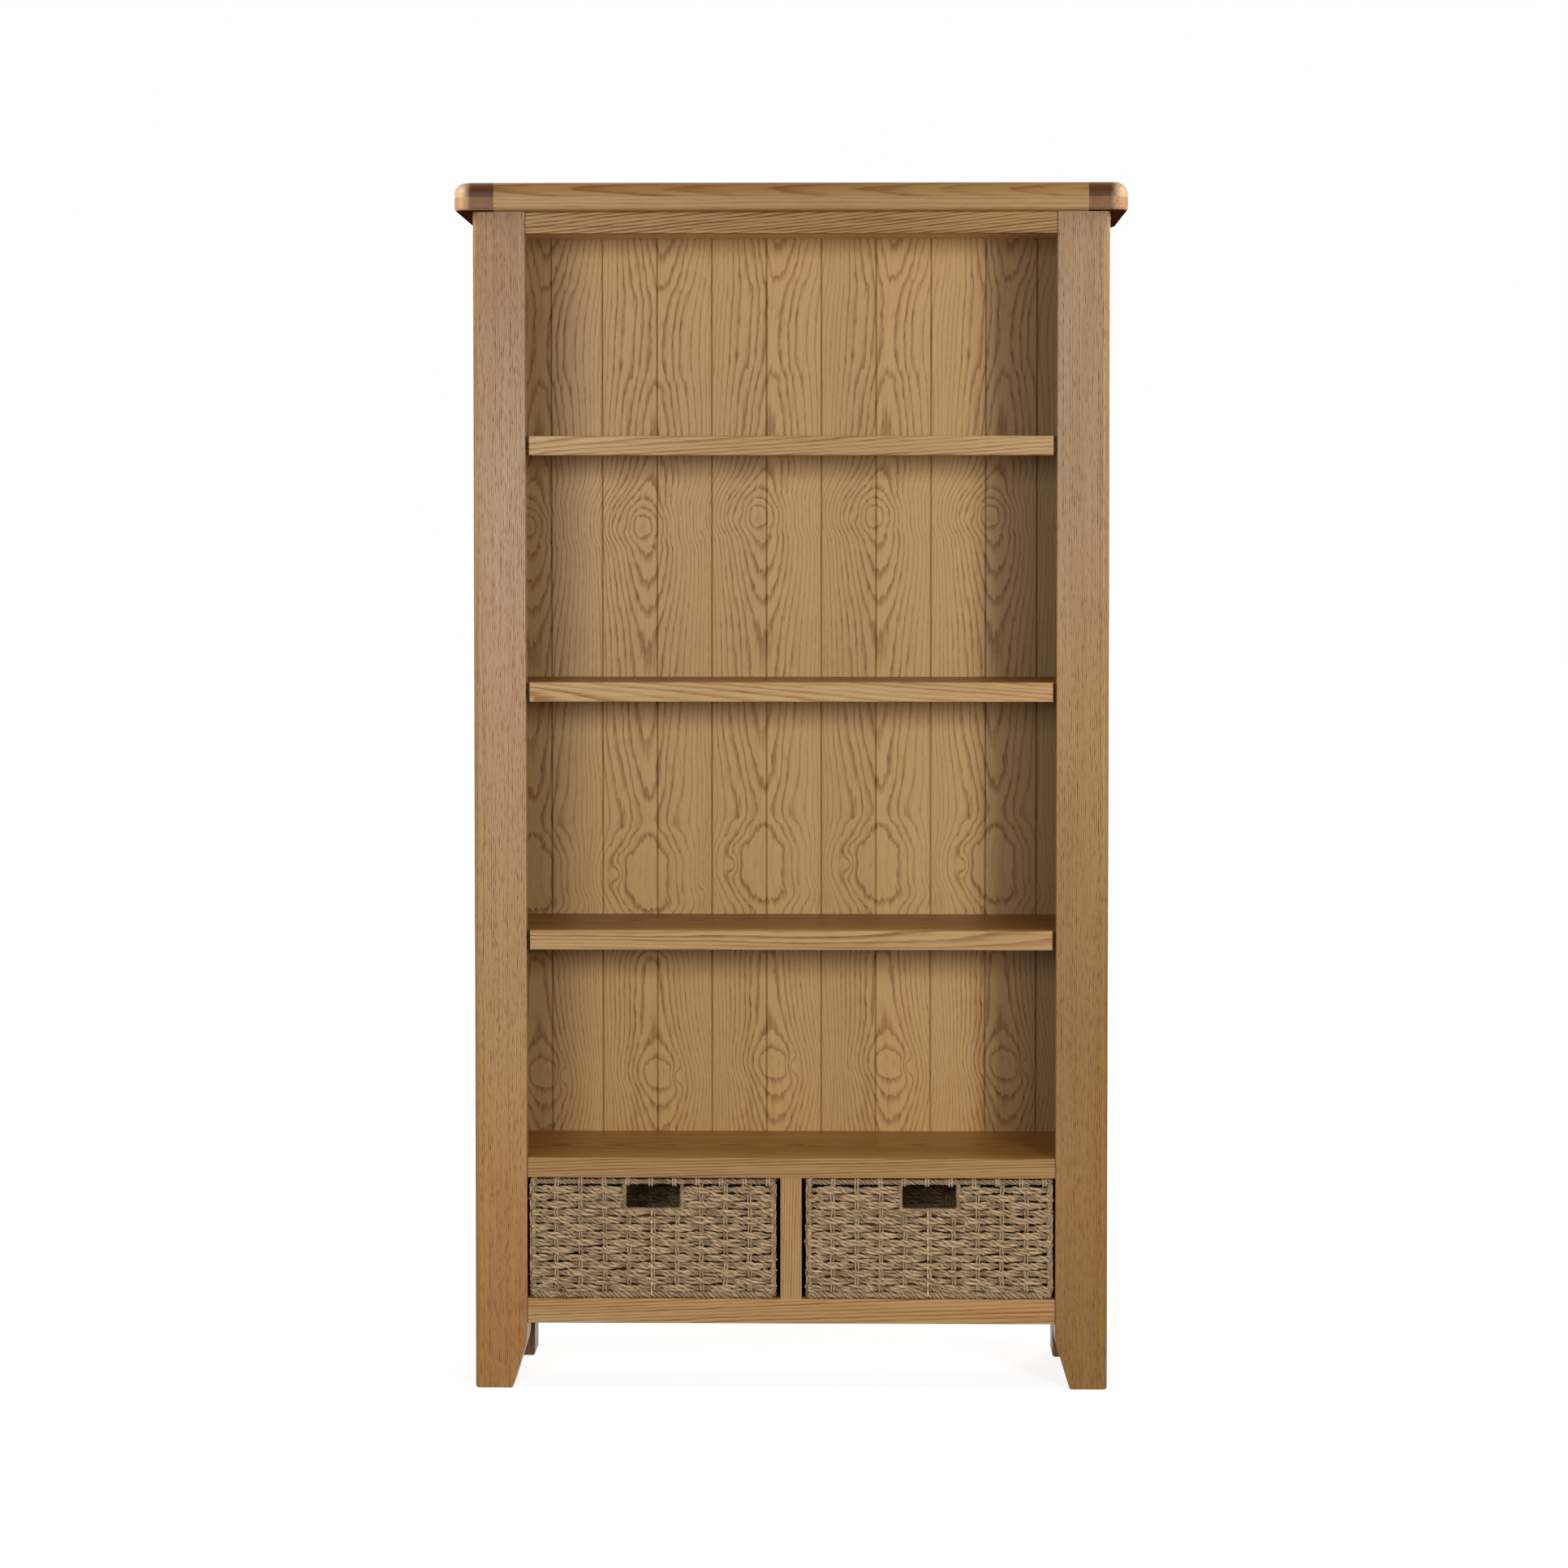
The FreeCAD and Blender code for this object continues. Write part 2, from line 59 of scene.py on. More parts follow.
def linear(hex_colour):
    """An sRGB hex colour as linear red, green and blue."""
    values = [int(hex_colour[place : place + 2], 16) / 255 for place in (0, 2, 4)]
    return [v / 12.92 if v <= 0.04045 else ((v + 0.055) / 1.055) ** 2.4 for v in values]


def add(tree, kind, values=None, out=0, **settings):
    """Add one node with its settings and links. Its inputs are constants, sockets or lists of sockets."""
    made = tree.nodes.new(kind)
    for name, value in settings.items():
        setattr(made, name, value)
    if isinstance(values, tuple):
        values = dict(enumerate(values))
    for key, value in (values or {}).items():
        if isinstance(value, bpy.types.NodeSocket):
            tree.links.new(value, made.inputs[key])
        elif isinstance(value, list) and value and isinstance(value[0], bpy.types.NodeSocket):
            for socket in value:
                tree.links.new(socket, made.inputs[key])
        else:
            made.inputs[key].default_value = value
    return made.outputs[out] if len(made.outputs) else made


SOCKET_KINDS = {float: "Float", int: "Int", tuple: "Vector"}


def new_tree(name, kind, inputs, outputs):
    """A node tree and its input sockets. An input is given by its default, or else by its kind."""
    tree = bpy.data.node_groups.new(name, kind)
    for label, default in inputs.items():
        has_default = not isinstance(default, str)
        socket = SOCKET_KINDS[type(default)] if has_default else default
        made = tree.interface.new_socket(label, in_out="INPUT", socket_type=f"NodeSocket{socket}")
        if has_default:
            made.default_value = default
    for label, socket in outputs.items():
        tree.interface.new_socket(label, in_out="OUTPUT", socket_type=f"NodeSocket{socket}")
    return tree, tree.nodes.new("NodeGroupInput").outputs


def new_material(name):
    """A material with an empty node tree, and that tree."""
    material = bpy.data.materials.new(name)
    material.use_nodes = True
    material.node_tree.nodes.clear()
    return material, material.node_tree


def shade(tree, colour, normal=None, **values):
    """End a material's tree in a Principled shader. What is the same all over is set on its own socket."""
    inputs = {"Base Color": colour}
    if normal is not None:
        inputs["Normal"] = normal
    inputs.update({name.replace("_", " "): value for name, value in values.items()})
    surface = add(tree, "ShaderNodeBsdfPrincipled", inputs)
    add(tree, "ShaderNodeOutputMaterial", {"Surface": surface})


def cover(node, material):
    """Give a CAD node one material all over."""
    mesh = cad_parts[node].data
    mesh.materials.clear()
    mesh.materials.append(material)


def new_object(name, data):
    """An object in the scene."""
    obj = bpy.data.objects.new(name, data)
    bpy.context.scene.collection.objects.link(obj)
    return obj


def add_modifier(obj, tree, values):
    """Put a geometry tree on an object, with its inputs given by name."""
    modifier = obj.modifiers.new(tree.name, "NODES")
    modifier.node_group = tree
    for item in tree.interface.items_tree:
        if item.item_type == "SOCKET" and item.in_out == "INPUT" and item.name in values:
            modifier[item.identifier] = values[item.name]


def apart(tree, value, middle):
    """How far a value lies from a middle, either way."""
    gap = add(tree, "ShaderNodeMath", (value, middle), operation="SUBTRACT")
    return add(tree, "ShaderNodeMath", (gap,), operation="ABSOLUTE")


# Oak


# A face looks down where its normal's height is below this.
DOWNWARD = -0.8


def underside_tree():
    """Gives the faces that look down another material."""
    inputs = {"Geometry": "Geometry", "Material": "Material"}
    tree, given = new_tree("underside", "GeometryNodeTree", inputs, {"Geometry": "Geometry"})
    facing = add(tree, "ShaderNodeSeparateXYZ", {0: add(tree, "GeometryNodeInputNormal")}, out="Z")
    down = add(tree, "ShaderNodeMath", (facing, DOWNWARD), operation="LESS_THAN")
    values = {"Geometry": given["Geometry"], "Selection": down, "Material": given["Material"]}
    add(tree, "NodeGroupOutput", {"Geometry": add(tree, "GeometryNodeSetMaterial", values)})
    return tree


# The sizes of oak's markings in metres, across the grain and along it.
SWAY_SIZE = (0.028, 0.24)
JAG_SIZE = (0.005, 0.03)
STREAK_SIZE = (0.0052, 0.3)
PATCH_SIZE = (0.06, 0.5)
# Oak's vessels are 0.3 mm wide. They are drawn about 2 mm wide, which is as fine as shows.
PORE_WIDTH = 0.0018
# The share of a growth ring at which its dark early wood is full, and from which it fades.
RING_FULL, RING_FADES = 0.1, 0.12
# How dark and how deep a growth line is, and how many of the pores lie outside the early wood.
LINE_DARKNESS, LINE_RELIEF, LATE_PORES = 0.62, 0.4, 0.4
# The inputs of the Map Range that turns the noise of a marking, or a share, into its strength.
PORE_RANGE = {1: 0.5, 2: 0.66}
STREAK_RANGE = {1: 0.3, 2: 0.7, 3: -0.2, 4: 0.2}
PATCH_RANGE = {1: 0.42, 2: 0.7, 3: 0.0}
END_GRAIN_RANGE = {1: 0.6, 2: 0.95, 3: 0.0, 4: 0.75}
ROUGHNESS_RANGE = {3: 0.34, 4: 0.5}


def oak_surface_tree():
    """Colour, roughness and height of oak, from a place with the grain along Z and a distance in rings."""
    inputs = {
        "Place": "Vector",
        "Rings": 0.0,
        "Across": 0.0,
        "Seed": 0.0,
        "Contrast": 1.0,
        "Sway": 1.5,
        "Jags": 0.35,
        "Early Wood": 0.7,
        "Even Lines": 0.4,
        "Patches": 0.4,
        "Pores": 0.26,
        "Pore Length": 0.03,
        "Tone": "Color",
        "Line": "Color",
        "Warm": "Color",
    }
    outputs = {"Colour": "Color", "Roughness": "Float", "Height": "Float"}
    tree, given = new_tree("oak_surface", "ShaderNodeTree", inputs, outputs)
    place, seed = given["Place"], given["Seed"]

    def grainy(across, along, detail, roughness=0.5):
        """Noise whose grains have these sizes in metres across and along the grain."""
        if isinstance(along, bpy.types.NodeSocket):
            rate = add(tree, "ShaderNodeMath", (1.0, along), operation="DIVIDE")
            size = add(tree, "ShaderNodeCombineXYZ", (1 / across, 1 / across, rate))
        else:
            size = (1 / across, 1 / across, 1 / along)
        stretched = add(tree, "ShaderNodeVectorMath", (place, size), operation="MULTIPLY")
        values = {"Vector": stretched, "W": seed, "Scale": 1.0, "Detail": detail, "Roughness": roughness}
        return add(tree, "ShaderNodeTexNoise", values, noise_dimensions="4D")

    slow = grainy(*SWAY_SIZE, 2.0)
    jagged = grainy(*JAG_SIZE, 1.0)
    # Noise is 0.5 on average, so half of each goes off again.
    rings = add(tree, "ShaderNodeMath", (given["Sway"], given["Jags"]), operation="ADD")
    rings = add(tree, "ShaderNodeMath", (rings, -0.5, given["Rings"]), operation="MULTIPLY_ADD")
    rings = add(tree, "ShaderNodeMath", (slow, given["Sway"], rings), operation="MULTIPLY_ADD")
    rings = add(tree, "ShaderNodeMath", (jagged, given["Jags"], rings), operation="MULTIPLY_ADD")
    cell = add(tree, "ShaderNodeMath", (rings,), operation="FRACT")
    number = add(tree, "ShaderNodeMath", (rings,), operation="FLOOR")
    number = add(tree, "ShaderNodeMath", (number, seed), operation="ADD")
    lot = add(tree, "ShaderNodeTexWhiteNoise", {"W": number}, noise_dimensions="1D")
    strength = add(tree, "ShaderNodeMapRange", {0: lot, 3: given["Even Lines"], 4: 1.0})
    rise = add(tree, "ShaderNodeMapRange", {0: cell, 2: RING_FULL})
    fall = {0: cell, 1: RING_FADES, 2: given["Early Wood"], 3: 1.0, 4: 0.0}
    fall = add(tree, "ShaderNodeMapRange", fall, interpolation_type="SMOOTHSTEP")
    growth = add(tree, "ShaderNodeMath", (rise, fall), operation="MULTIPLY")
    growth = add(tree, "ShaderNodeMath", (growth, strength), operation="MULTIPLY")
    pores = {0: grainy(PORE_WIDTH, given["Pore Length"], 1.0), **PORE_RANGE}
    pores = add(tree, "ShaderNodeMapRange", pores)
    open_grain = add(tree, "ShaderNodeMapRange", {0: growth, 3: LATE_PORES, 4: 1.0})
    pores = add(tree, "ShaderNodeMath", (pores, open_grain), operation="MULTIPLY")
    streaks = add(tree, "ShaderNodeMapRange", {0: grainy(*STREAK_SIZE, 3.0, 0.65), **STREAK_RANGE})
    dark = add(tree, "ShaderNodeMath", (growth, LINE_DARKNESS, streaks), operation="MULTIPLY_ADD")
    dark = add(tree, "ShaderNodeMath", (dark, given["Contrast"]), operation="MULTIPLY")
    dark = {0: pores, 1: given["Pores"], 2: dark}
    dark = add(tree, "ShaderNodeMath", dark, operation="MULTIPLY_ADD", use_clamp=True)
    lines = {0: dark, 6: [1, 1, 1, 1], 7: given["Line"]}
    colour = add(tree, "ShaderNodeMix", lines, out=2, data_type="RGBA")
    patches = {0: grainy(*PATCH_SIZE, 1.0), **PATCH_RANGE, 4: given["Patches"]}
    patches = add(tree, "ShaderNodeMapRange", patches)
    ends = add(tree, "ShaderNodeMapRange", {0: given["Across"], **END_GRAIN_RANGE})
    for share, tint in ((1.0, given["Tone"]), (patches, given["Warm"]), (ends, given["Line"])):
        over = {0: share, 6: colour, 7: tint}
        colour = add(tree, "ShaderNodeMix", over, out=2, data_type="RGBA", blend_type="MULTIPLY")
    roughness = add(tree, "ShaderNodeMapRange", {0: dark, **ROUGHNESS_RANGE})
    height = add(tree, "ShaderNodeMath", (growth, LINE_RELIEF, pores), operation="MULTIPLY_ADD")
    height = add(tree, "ShaderNodeMath", (1.0, height), operation="SUBTRACT")
    add(tree, "NodeGroupOutput", {"Colour": colour, "Roughness": roughness, "Height": height})
    return tree


GRAIN_ORDERS = {"x": ("Y", "Z", "X"), "y": ("Z", "X", "Y"), "z": ("X", "Y", "Z")}


def grain_aligned(tree, socket, grain):
    """A vector with its parts put in the order that leaves the grain along Z."""
    parts = add(tree, "ShaderNodeSeparateXYZ", (socket,)).node.outputs
    order = GRAIN_ORDERS[grain]
    return add(tree, "ShaderNodeCombineXYZ", {place: parts[axis] for place, axis in enumerate(order)})


# How much paler the wood between the growth lines is than a board's tone from afar.
PALE_OVER_TONE = (1.21, 1.26, 1.34)


def pale_wood(tone, settings):
    """The colour between the growth lines of oak that looks like this tone from afar."""
    return [*(part * stain * lift for part, stain, lift in zip(tone, settings.stain, PALE_OVER_TONE)), 1]


def tones_over_height(tree, height, stops, settings):
    """Pale wood whose tone changes up the height. The stops are height and tone, from the floor up."""
    low, high = stops[0][0], stops[-1][0]
    share = add(tree, "ShaderNodeMapRange", (height, low, high))
    tone = add(tree, "ShaderNodeValToRGB", (share,))
    marks = tone.node.color_ramp.elements
    while len(marks) < len(stops):
        marks.new(0.5)
    for mark, (z, colour) in zip(marks, stops):
        mark.position = (z - low) / (high - low)
        mark.color = pale_wood(linear(colour), settings)
    return tone


OILED_OAK = {"IOR": 1.5, "Specular_IOR_Level": 0.3}


def finish_oak(tree, settings, values, shade_over, tone, depth=0.2, **gloss):
    """End an oak material: the oak group with its tone, a shade over it, and an oiled satin surface."""
    tints = {"Line": [*settings.line, 1], "Warm": [*settings.warm, 1]}
    values = {"Tone": pale_wood(tone, settings), **tints, **values}
    oak = add(tree, "ShaderNodeGroup", values, node_tree=bpy.data.node_groups["oak_surface"]).node.outputs
    over = {0: 1.0, 6: oak["Colour"], 7: shade_over}
    colour = add(tree, "ShaderNodeMix", over, out=2, data_type="RGBA", blend_type="MULTIPLY")
    relief = add(tree, "ShaderNodeBump", {"Strength": 0.35, "Distance": depth * MM, "Height": oak["Height"]})
    shade(tree, colour, relief, **{"Roughness": oak["Roughness"], **OILED_OAK, **gloss})


# The hairline shadow where a rail meets the posts: how far from them it starts and is darkest, and its depth.
SEAM_STARTS, SEAM_DARKEST, SEAM_DEPTH = 2.2 * MM, 0.8 * MM, 0.4
# Where the posts' yellower sapwood starts, from the bookcase's middle, how its edge winds, and its tint.
SAPWOOD = 0.4665
SAPWOOD_BEND_LENGTH, SAPWOOD_BEND, SAPWOOD_EDGE = 0.11, 0.012, 2 * MM
SAPWOOD_TINT = [1.04, 1.0, 0.82, 1]
# The dark line along the sapwood's edge.
SAPWOOD_LINE_WIDTH, SAPWOOD_LINE_DEPTH = 1.6 * MM, 0.8


def oak_board(
    name, node, cut, settings, tone, seam=None, stops=None, sapwood=None, corner=None, gloss=None, **look
):
    """Oak whose growth rings lie round a pith line. The cut is grain, pith, lean, ring width and seed."""
    # European oak, planed and oiled: growth rings cut by each face, open pores in the early wood, satin.
    grain, pith, lean, ring, seed = cut
    material, tree = new_material(name)
    coordinates = add(tree, "ShaderNodeTexCoord").node.outputs
    place = grain_aligned(tree, coordinates["Object"], grain)
    low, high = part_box(node)
    middle = (low + high) / 2
    first, second, grain_axis = ("XYZ".index(axis) for axis in GRAIN_ORDERS[grain])
    start = [middle[first] + pith[0] * MM, middle[second] + pith[1] * MM, 0]
    height = add(tree, "ShaderNodeSeparateXYZ", (place,), out="Z")
    along = add(tree, "ShaderNodeMath", (height, -middle[grain_axis]), operation="ADD")
    line = add(tree, "ShaderNodeVectorMath", {0: (*lean, 0), 3: along}, operation="SCALE")
    line = add(tree, "ShaderNodeVectorMath", (line, start), operation="ADD")
    away = add(tree, "ShaderNodeVectorMath", (place, line), operation="SUBTRACT")
    away = add(tree, "ShaderNodeVectorMath", (away, (1, 1, 0)), operation="MULTIPLY")
    distance = add(tree, "ShaderNodeVectorMath", (away,), out="Value", operation="LENGTH")
    rings = add(tree, "ShaderNodeMath", (distance, ring * MM), operation="DIVIDE")
    facing = grain_aligned(tree, coordinates["Normal"], grain)
    facing = add(tree, "ShaderNodeSeparateXYZ", (facing,), out="Z")
    facing = add(tree, "ShaderNodeMath", (facing,), operation="ABSOLUTE")
    values = {"Place": place, "Rings": rings, "Across": facing, "Seed": seed}
    values.update({name.replace("_", " "): value for name, value in look.items()})
    shade_over = [1, 1, 1, 1]
    if seam:
        reach = add(tree, "ShaderNodeMath", (along,), operation="ABSOLUTE")
        dark = {0: reach, 1: seam - SEAM_STARTS, 2: seam - SEAM_DARKEST, 3: 1.0, 4: SEAM_DEPTH}
        dark = add(tree, "ShaderNodeMapRange", dark)
        shade_over = add(tree, "ShaderNodeCombineColor", (dark, dark, dark))
    if stops:
        values["Tone"] = tones_over_height(tree, height, stops, settings)
    if sapwood:
        wander = {0: height, 2: SAPWOOD_BEND_LENGTH, 4: 1.0}
        wander = {"W": add(tree, "ShaderNodeMapRange", wander, clamp=False), "Scale": 1.0, "Detail": 2.0}
        wander = add(tree, "ShaderNodeTexNoise", wander, noise_dimensions="1D")
        reach = add(tree, "ShaderNodeSeparateXYZ", (place,), out="X")
        reach = add(tree, "ShaderNodeMath", (reach,), operation="ABSOLUTE")
        reach = add(tree, "ShaderNodeMath", (wander, SAPWOOD_BEND, reach), operation="MULTIPLY_ADD")
        inside = add(tree, "ShaderNodeMapRange", (reach, sapwood, sapwood + SAPWOOD_EDGE))
        pale = {0: inside, 6: [1, 1, 1, 1], 7: SAPWOOD_TINT}
        pale = add(tree, "ShaderNodeMix", pale, out=2, data_type="RGBA")
        dark = {0: apart(tree, reach, sapwood), 2: SAPWOOD_LINE_WIDTH, 3: SAPWOOD_LINE_DEPTH, 4: 1.0}
        dark = add(tree, "ShaderNodeMapRange", dark)
        shade_over = add(tree, "ShaderNodeVectorMath", {0: pale, 3: dark}, operation="SCALE")
    if corner:
        # The rounded corners turn paler: partly the paler long grain of their sides, partly a painted
        # highlight where the side lamps shine on them. Their end grain no longer shows dark there.
        starts, ends, pale_highlight_tone = corner
        reach = add(tree, "ShaderNodeSeparateXYZ", (coordinates["Object"],), out="X")
        reach = add(tree, "ShaderNodeMath", (reach,), operation="ABSOLUTE")
        pale_and_highlit = {0: reach, 1: starts, 2: ends}
        pale_and_highlit = add(tree, "ShaderNodeMapRange", pale_and_highlit, interpolation_type="SMOOTHSTEP")
        tones = {0: pale_and_highlit, 6: pale_wood(tone, settings), 7: pale_wood(linear(pale_highlight_tone), settings)}
        values["Tone"] = add(tree, "ShaderNodeMix", tones, out=2, data_type="RGBA")
        inside = add(tree, "ShaderNodeMath", (1.0, pale_and_highlit), operation="SUBTRACT")
        values["Across"] = add(tree, "ShaderNodeMath", (facing, inside), operation="MULTIPLY")
    finish_oak(tree, settings, values, shade_over, tone, **(gloss or {}))
    return material


# Each board: node, grain, pith from its middle in mm, pith's lean, ring width in mm, contrast, tone.
SOLID_BOARDS = (
    ("front_post_left", "z", (150, 12), (0.004, 0.01), 2.9, 0.75, "876848"),
    ("front_post_right", "z", (-170, 10), (0.005, 0.012), 3.1, 0.75, "856845"),
    ("rear_post_left", "z", (130, 40), (0.006, 0.01), 3.2, 1.5, "8A6642"),
    ("rear_post_right", "z", (-140, 35), (0.004, 0.01), 3.0, 1.5, "8A6642"),
    ("top_board", "x", (30, -75), (0.05, 0.035), 4.6, 1.1, "96703B"),
    ("top_under_strip_front", "x", (20, -60), (0.02, 0.02), 4.2, 0.8, "A5804F"),
    ("top_under_strip_rear", "x", (-20, -60), (0.02, 0.02), 4.2, 1.4, "A5804F"),
    ("top_front_rail", "x", (25, 95), (0.0, 0.12), 4.6, 2.5, "A6844A"),
    ("fixed_shelf_rail", "x", (30, 60), (0.01, 0.02), 3.6, 1.3, "AD8550"),
    ("bottom_front_rail", "x", (40, -55), (0.01, 0.05), 3.9, 1.4, "C09861"),
    ("top_rear_rail", "x", (-60, 30), (0.02, 0.02), 3.8, 1.4, "A6844A"),
    ("bottom_rear_rail", "x", (-60, 20), (0.02, 0.02), 3.8, 1.4, "A6844A"),
    ("side_top_rail_left", "y", (20, 60), (0.03, 0.02), 3.8, 1.4, "A07C54"),
    ("side_top_rail_right", "y", (20, -60), (0.03, 0.02), 3.8, 1.4, "A07C54"),
    ("side_bottom_rail_left", "y", (-20, 60), (0.03, 0.02), 3.8, 1.4, "A07C54"),
    ("side_bottom_rail_right", "y", (-20, -60), (0.03, 0.02), 3.8, 1.4, "A07C54"),
    ("divider_post", "z", (60, 30), (0.01, 0.01), 3.4, 1.2, "BA905A"),
    ("shelf_1_lipping", "x", (45, 40), (0.02, 0.05), 3.7, 1.05, "B5915D"),
    ("shelf_2_lipping", "x", (38, -30), (0.03, -0.04), 3.9, 1.15, "BD955E"),
    ("shelf_3_lipping", "x", (50, 35), (0.03, -0.05), 3.8, 1.35, "BC945E"),
)
# The front posts' tones from the floor up, by height in metres.
POST_TONES = {
    "front_post_left": (
        (0.083, "B07E47"), (0.289, "B88851"), (0.562, "B9905F"),
        (0.986, "B58C61"), (1.349, "B28E69"), (1.64, "9D7950"),
    ),
    "front_post_right": (
        (0.083, "976E38"), (0.289, "A1763F"), (0.562, "9B733F"),
        (0.986, "AC854E"), (1.349, "A88961"), (1.64, "A18159"),
    ),
}
# These boards meet the front posts' inner faces in a hairline joint.
JOINTED = ("top_front_rail", "fixed_shelf_rail", "bottom_front_rail")
PLAIN_BOARDS = (
    ("fixed_shelf_cleat", "y", (30, 40)),
    ("bottom_cleat", "y", (40, 30)),
    ("basket_guide", "y", (35, 35)),
    ("rear_bracket", "x", (30, 40)),
)
VENEERED_BOARDS = (
    ("side_panel_left", "z", (70, 10), (0.05, 0.01), 4.4, None),
    ("side_panel_right", "z", (-70, -10), (-0.05, 0.01), 4.4, None),
    # The carcass top's paler tone is painted light on its underside, which lies in shade.
    ("carcass_top", "x", (10, 60), (0.01, 0.05), 4.6, "E8C58D"),
    ("fixed_shelf_board", "x", (-20, -60), (0.02, 0.05), 4.6, "B6822A"),
    ("bottom_board", "x", (20, -60), (0.02, 0.04), 4.6, None),
    ("divider_panel", "y", (20, 60), (0.02, 0.05), 4.4, None),
    ("shelf_1_board", "x", (15, -65), (0.02, 0.05), 4.6, None),
    # Shelves 2 and 3 have darker tones: painted shade on their tops.
    ("shelf_2_board", "x", (-25, -65), (0.03, -0.05), 4.6, "956218"),
    ("shelf_3_board", "x", (25, -65), (0.02, 0.05), 4.6, "96661C"),
)
# Each layer of the cleats: node, pith's height in mm, tone, and where its corners turn paler, and to what:
# partly paler long grain, partly a painted highlight.
CLEATS = (
    ("top_cleat", -40, "623E13", (0.471, 0.49, "D3B387")),
    ("top_under_cleat", 30, "A4845E", (0.472, 0.488, "BE9066")),
)
# The figure of the back's veneer, up its height in metres: growth rings from the pith, and its middle in mm.
FIGURE_SPAN = (0.119, 1.756)
FIGURE_RING_RANGE = (0.0, 11.0)
FIGURE_RINGS = (
    (0.118, 9), (0.292, 6.5), (0.339, 4.9), (0.369, 4), (0.405, 3), (0.430, 2.05),
    (0.451, 1.35), (0.474, 2.05), (0.516, 3.2), (0.566, 3.6), (0.622, 3.9), (0.658, 7),
    (0.689, 8.6), (0.711, 8), (0.734, 7.65), (0.764, 7.45), (0.800, 7.65), (0.826, 8),
    (0.846, 8.75), (0.868, 8.6), (0.895, 8), (0.938, 7.5), (0.984, 7), (1.023, 6.75),
    (1.068, 6.45), (1.132, 6), (1.185, 5), (1.227, 4), (1.272, 3), (1.294, 2.1),
    (1.309, 1.35), (1.324, 2.1), (1.340, 3.3), (1.357, 4.3), (1.386, 5.2), (1.439, 6.1),
    (1.478, 6.4), (1.521, 7), (1.559, 7.75), (1.610, 7.9), (1.655, 7.7), (1.684, 7),
    (1.720, 6.35), (1.762, 5.6),
)
FIGURE_MIDDLE_RANGE = (-0.062, -0.018)
FIGURE_MIDDLES = (
    (0.118, -29.5), (0.369, -28.4), (0.405, -27.4), (0.451, -32.5), (0.526, -37.6), (0.617, -41.6),
    (0.711, -40.6), (0.759, -51.7), (0.826, -45.7), (0.902, -45.7), (0.973, -49.7), (1.064, -47.7),
    (1.206, -46.6), (1.272, -48.6), (1.309, -56.7), (1.357, -49.6), (1.408, -37.5), (1.560, -33.5),
    (1.610, -31.4), (1.687, -24.4), (1.762, -21.3),
)
# How flat the crowns are up the height: at 2 a crown is a wide flame, at 1 a narrow V.
FIGURE_FLATNESS_RANGE = (1.0, 2.2)
FIGURE_FLATNESS = (
    (0.118, 1.3), (0.300, 1.3), (0.400, 1.5), (0.451, 1.6), (0.500, 1.45), (0.600, 1.3),
    (0.680, 1.4), (0.735, 2.0), (0.770, 2.05), (0.800, 1.7), (0.826, 1.25), (0.890, 1.15),
    (1.000, 1.25), (1.150, 1.35), (1.309, 1.3), (1.360, 1.25), (1.521, 1.15), (1.762, 1.2),
)
# The swirls beside the figure's middle: place in mm and metres, half width and height in mm, and rings.
FIGURE_SWIRLS = (
    ((-25, 1.314), (11, 15), 1.1),
    ((-45, 0.765), (10, 16), 1.8),
    ((30, 0.448), (9, 14), 1.6),
)


def curve_over_height(tree, height, points, low, high):
    """A value that follows a curve over the height. The points are height and value."""
    span = {0: height, 1: FIGURE_SPAN[0], 2: FIGURE_SPAN[1]}
    made = add(tree, "ShaderNodeFloatCurve", {"Value": add(tree, "ShaderNodeMapRange", span)}).node
    curve = made.mapping.curves[0]
    for place, (z, value) in enumerate(points):
        x = (z - FIGURE_SPAN[0]) / (FIGURE_SPAN[1] - FIGURE_SPAN[0])
        y = (value - low) / (high - low)
        if place < 2:
            curve.points[place].location = (x, y)
        else:
            curve.points.new(x, y)
    made.mapping.update()
    return add(tree, "ShaderNodeMapRange", {0: made.outputs[0], 3: low, 4: high})


# Settings


class OakSettings(bpy.types.PropertyGroup):
    """Colours of the oak."""

    stain: bpy.props.FloatVectorProperty(
        name="Stain", description="Tint over all the oak", subtype="COLOR", default=(1.0, 1.0, 1.0)
    )
    line: bpy.props.FloatVectorProperty(
        name="Early wood", description="Tint of the darker growth lines",
        subtype="COLOR", default=linear("AA7A2E")
    )
    warm: bpy.props.FloatVectorProperty(
        name="Warm patches", description="Tint of the redder patches",
        subtype="COLOR", default=linear("ECCBA6")
    )
    veneer: bpy.props.FloatVectorProperty(
        name="Veneer", description="Colour of the shelves and panels",
        subtype="COLOR", default=linear("A06E1F")
    )
    back: bpy.props.FloatVectorProperty(
        name="Back", description="Colour of the grooved back", subtype="COLOR", default=linear("C0985E")
    )
    back_period: bpy.props.FloatProperty(
        name="Leaf width", description="Width after which the back's veneer repeats",
        unit="LENGTH", default=0.1805
    )
    back_rings: bpy.props.FloatProperty(
        name="Rings", description="Growth rings from the middle of a leaf of the back's veneer to its edge",
        default=14.0
    )


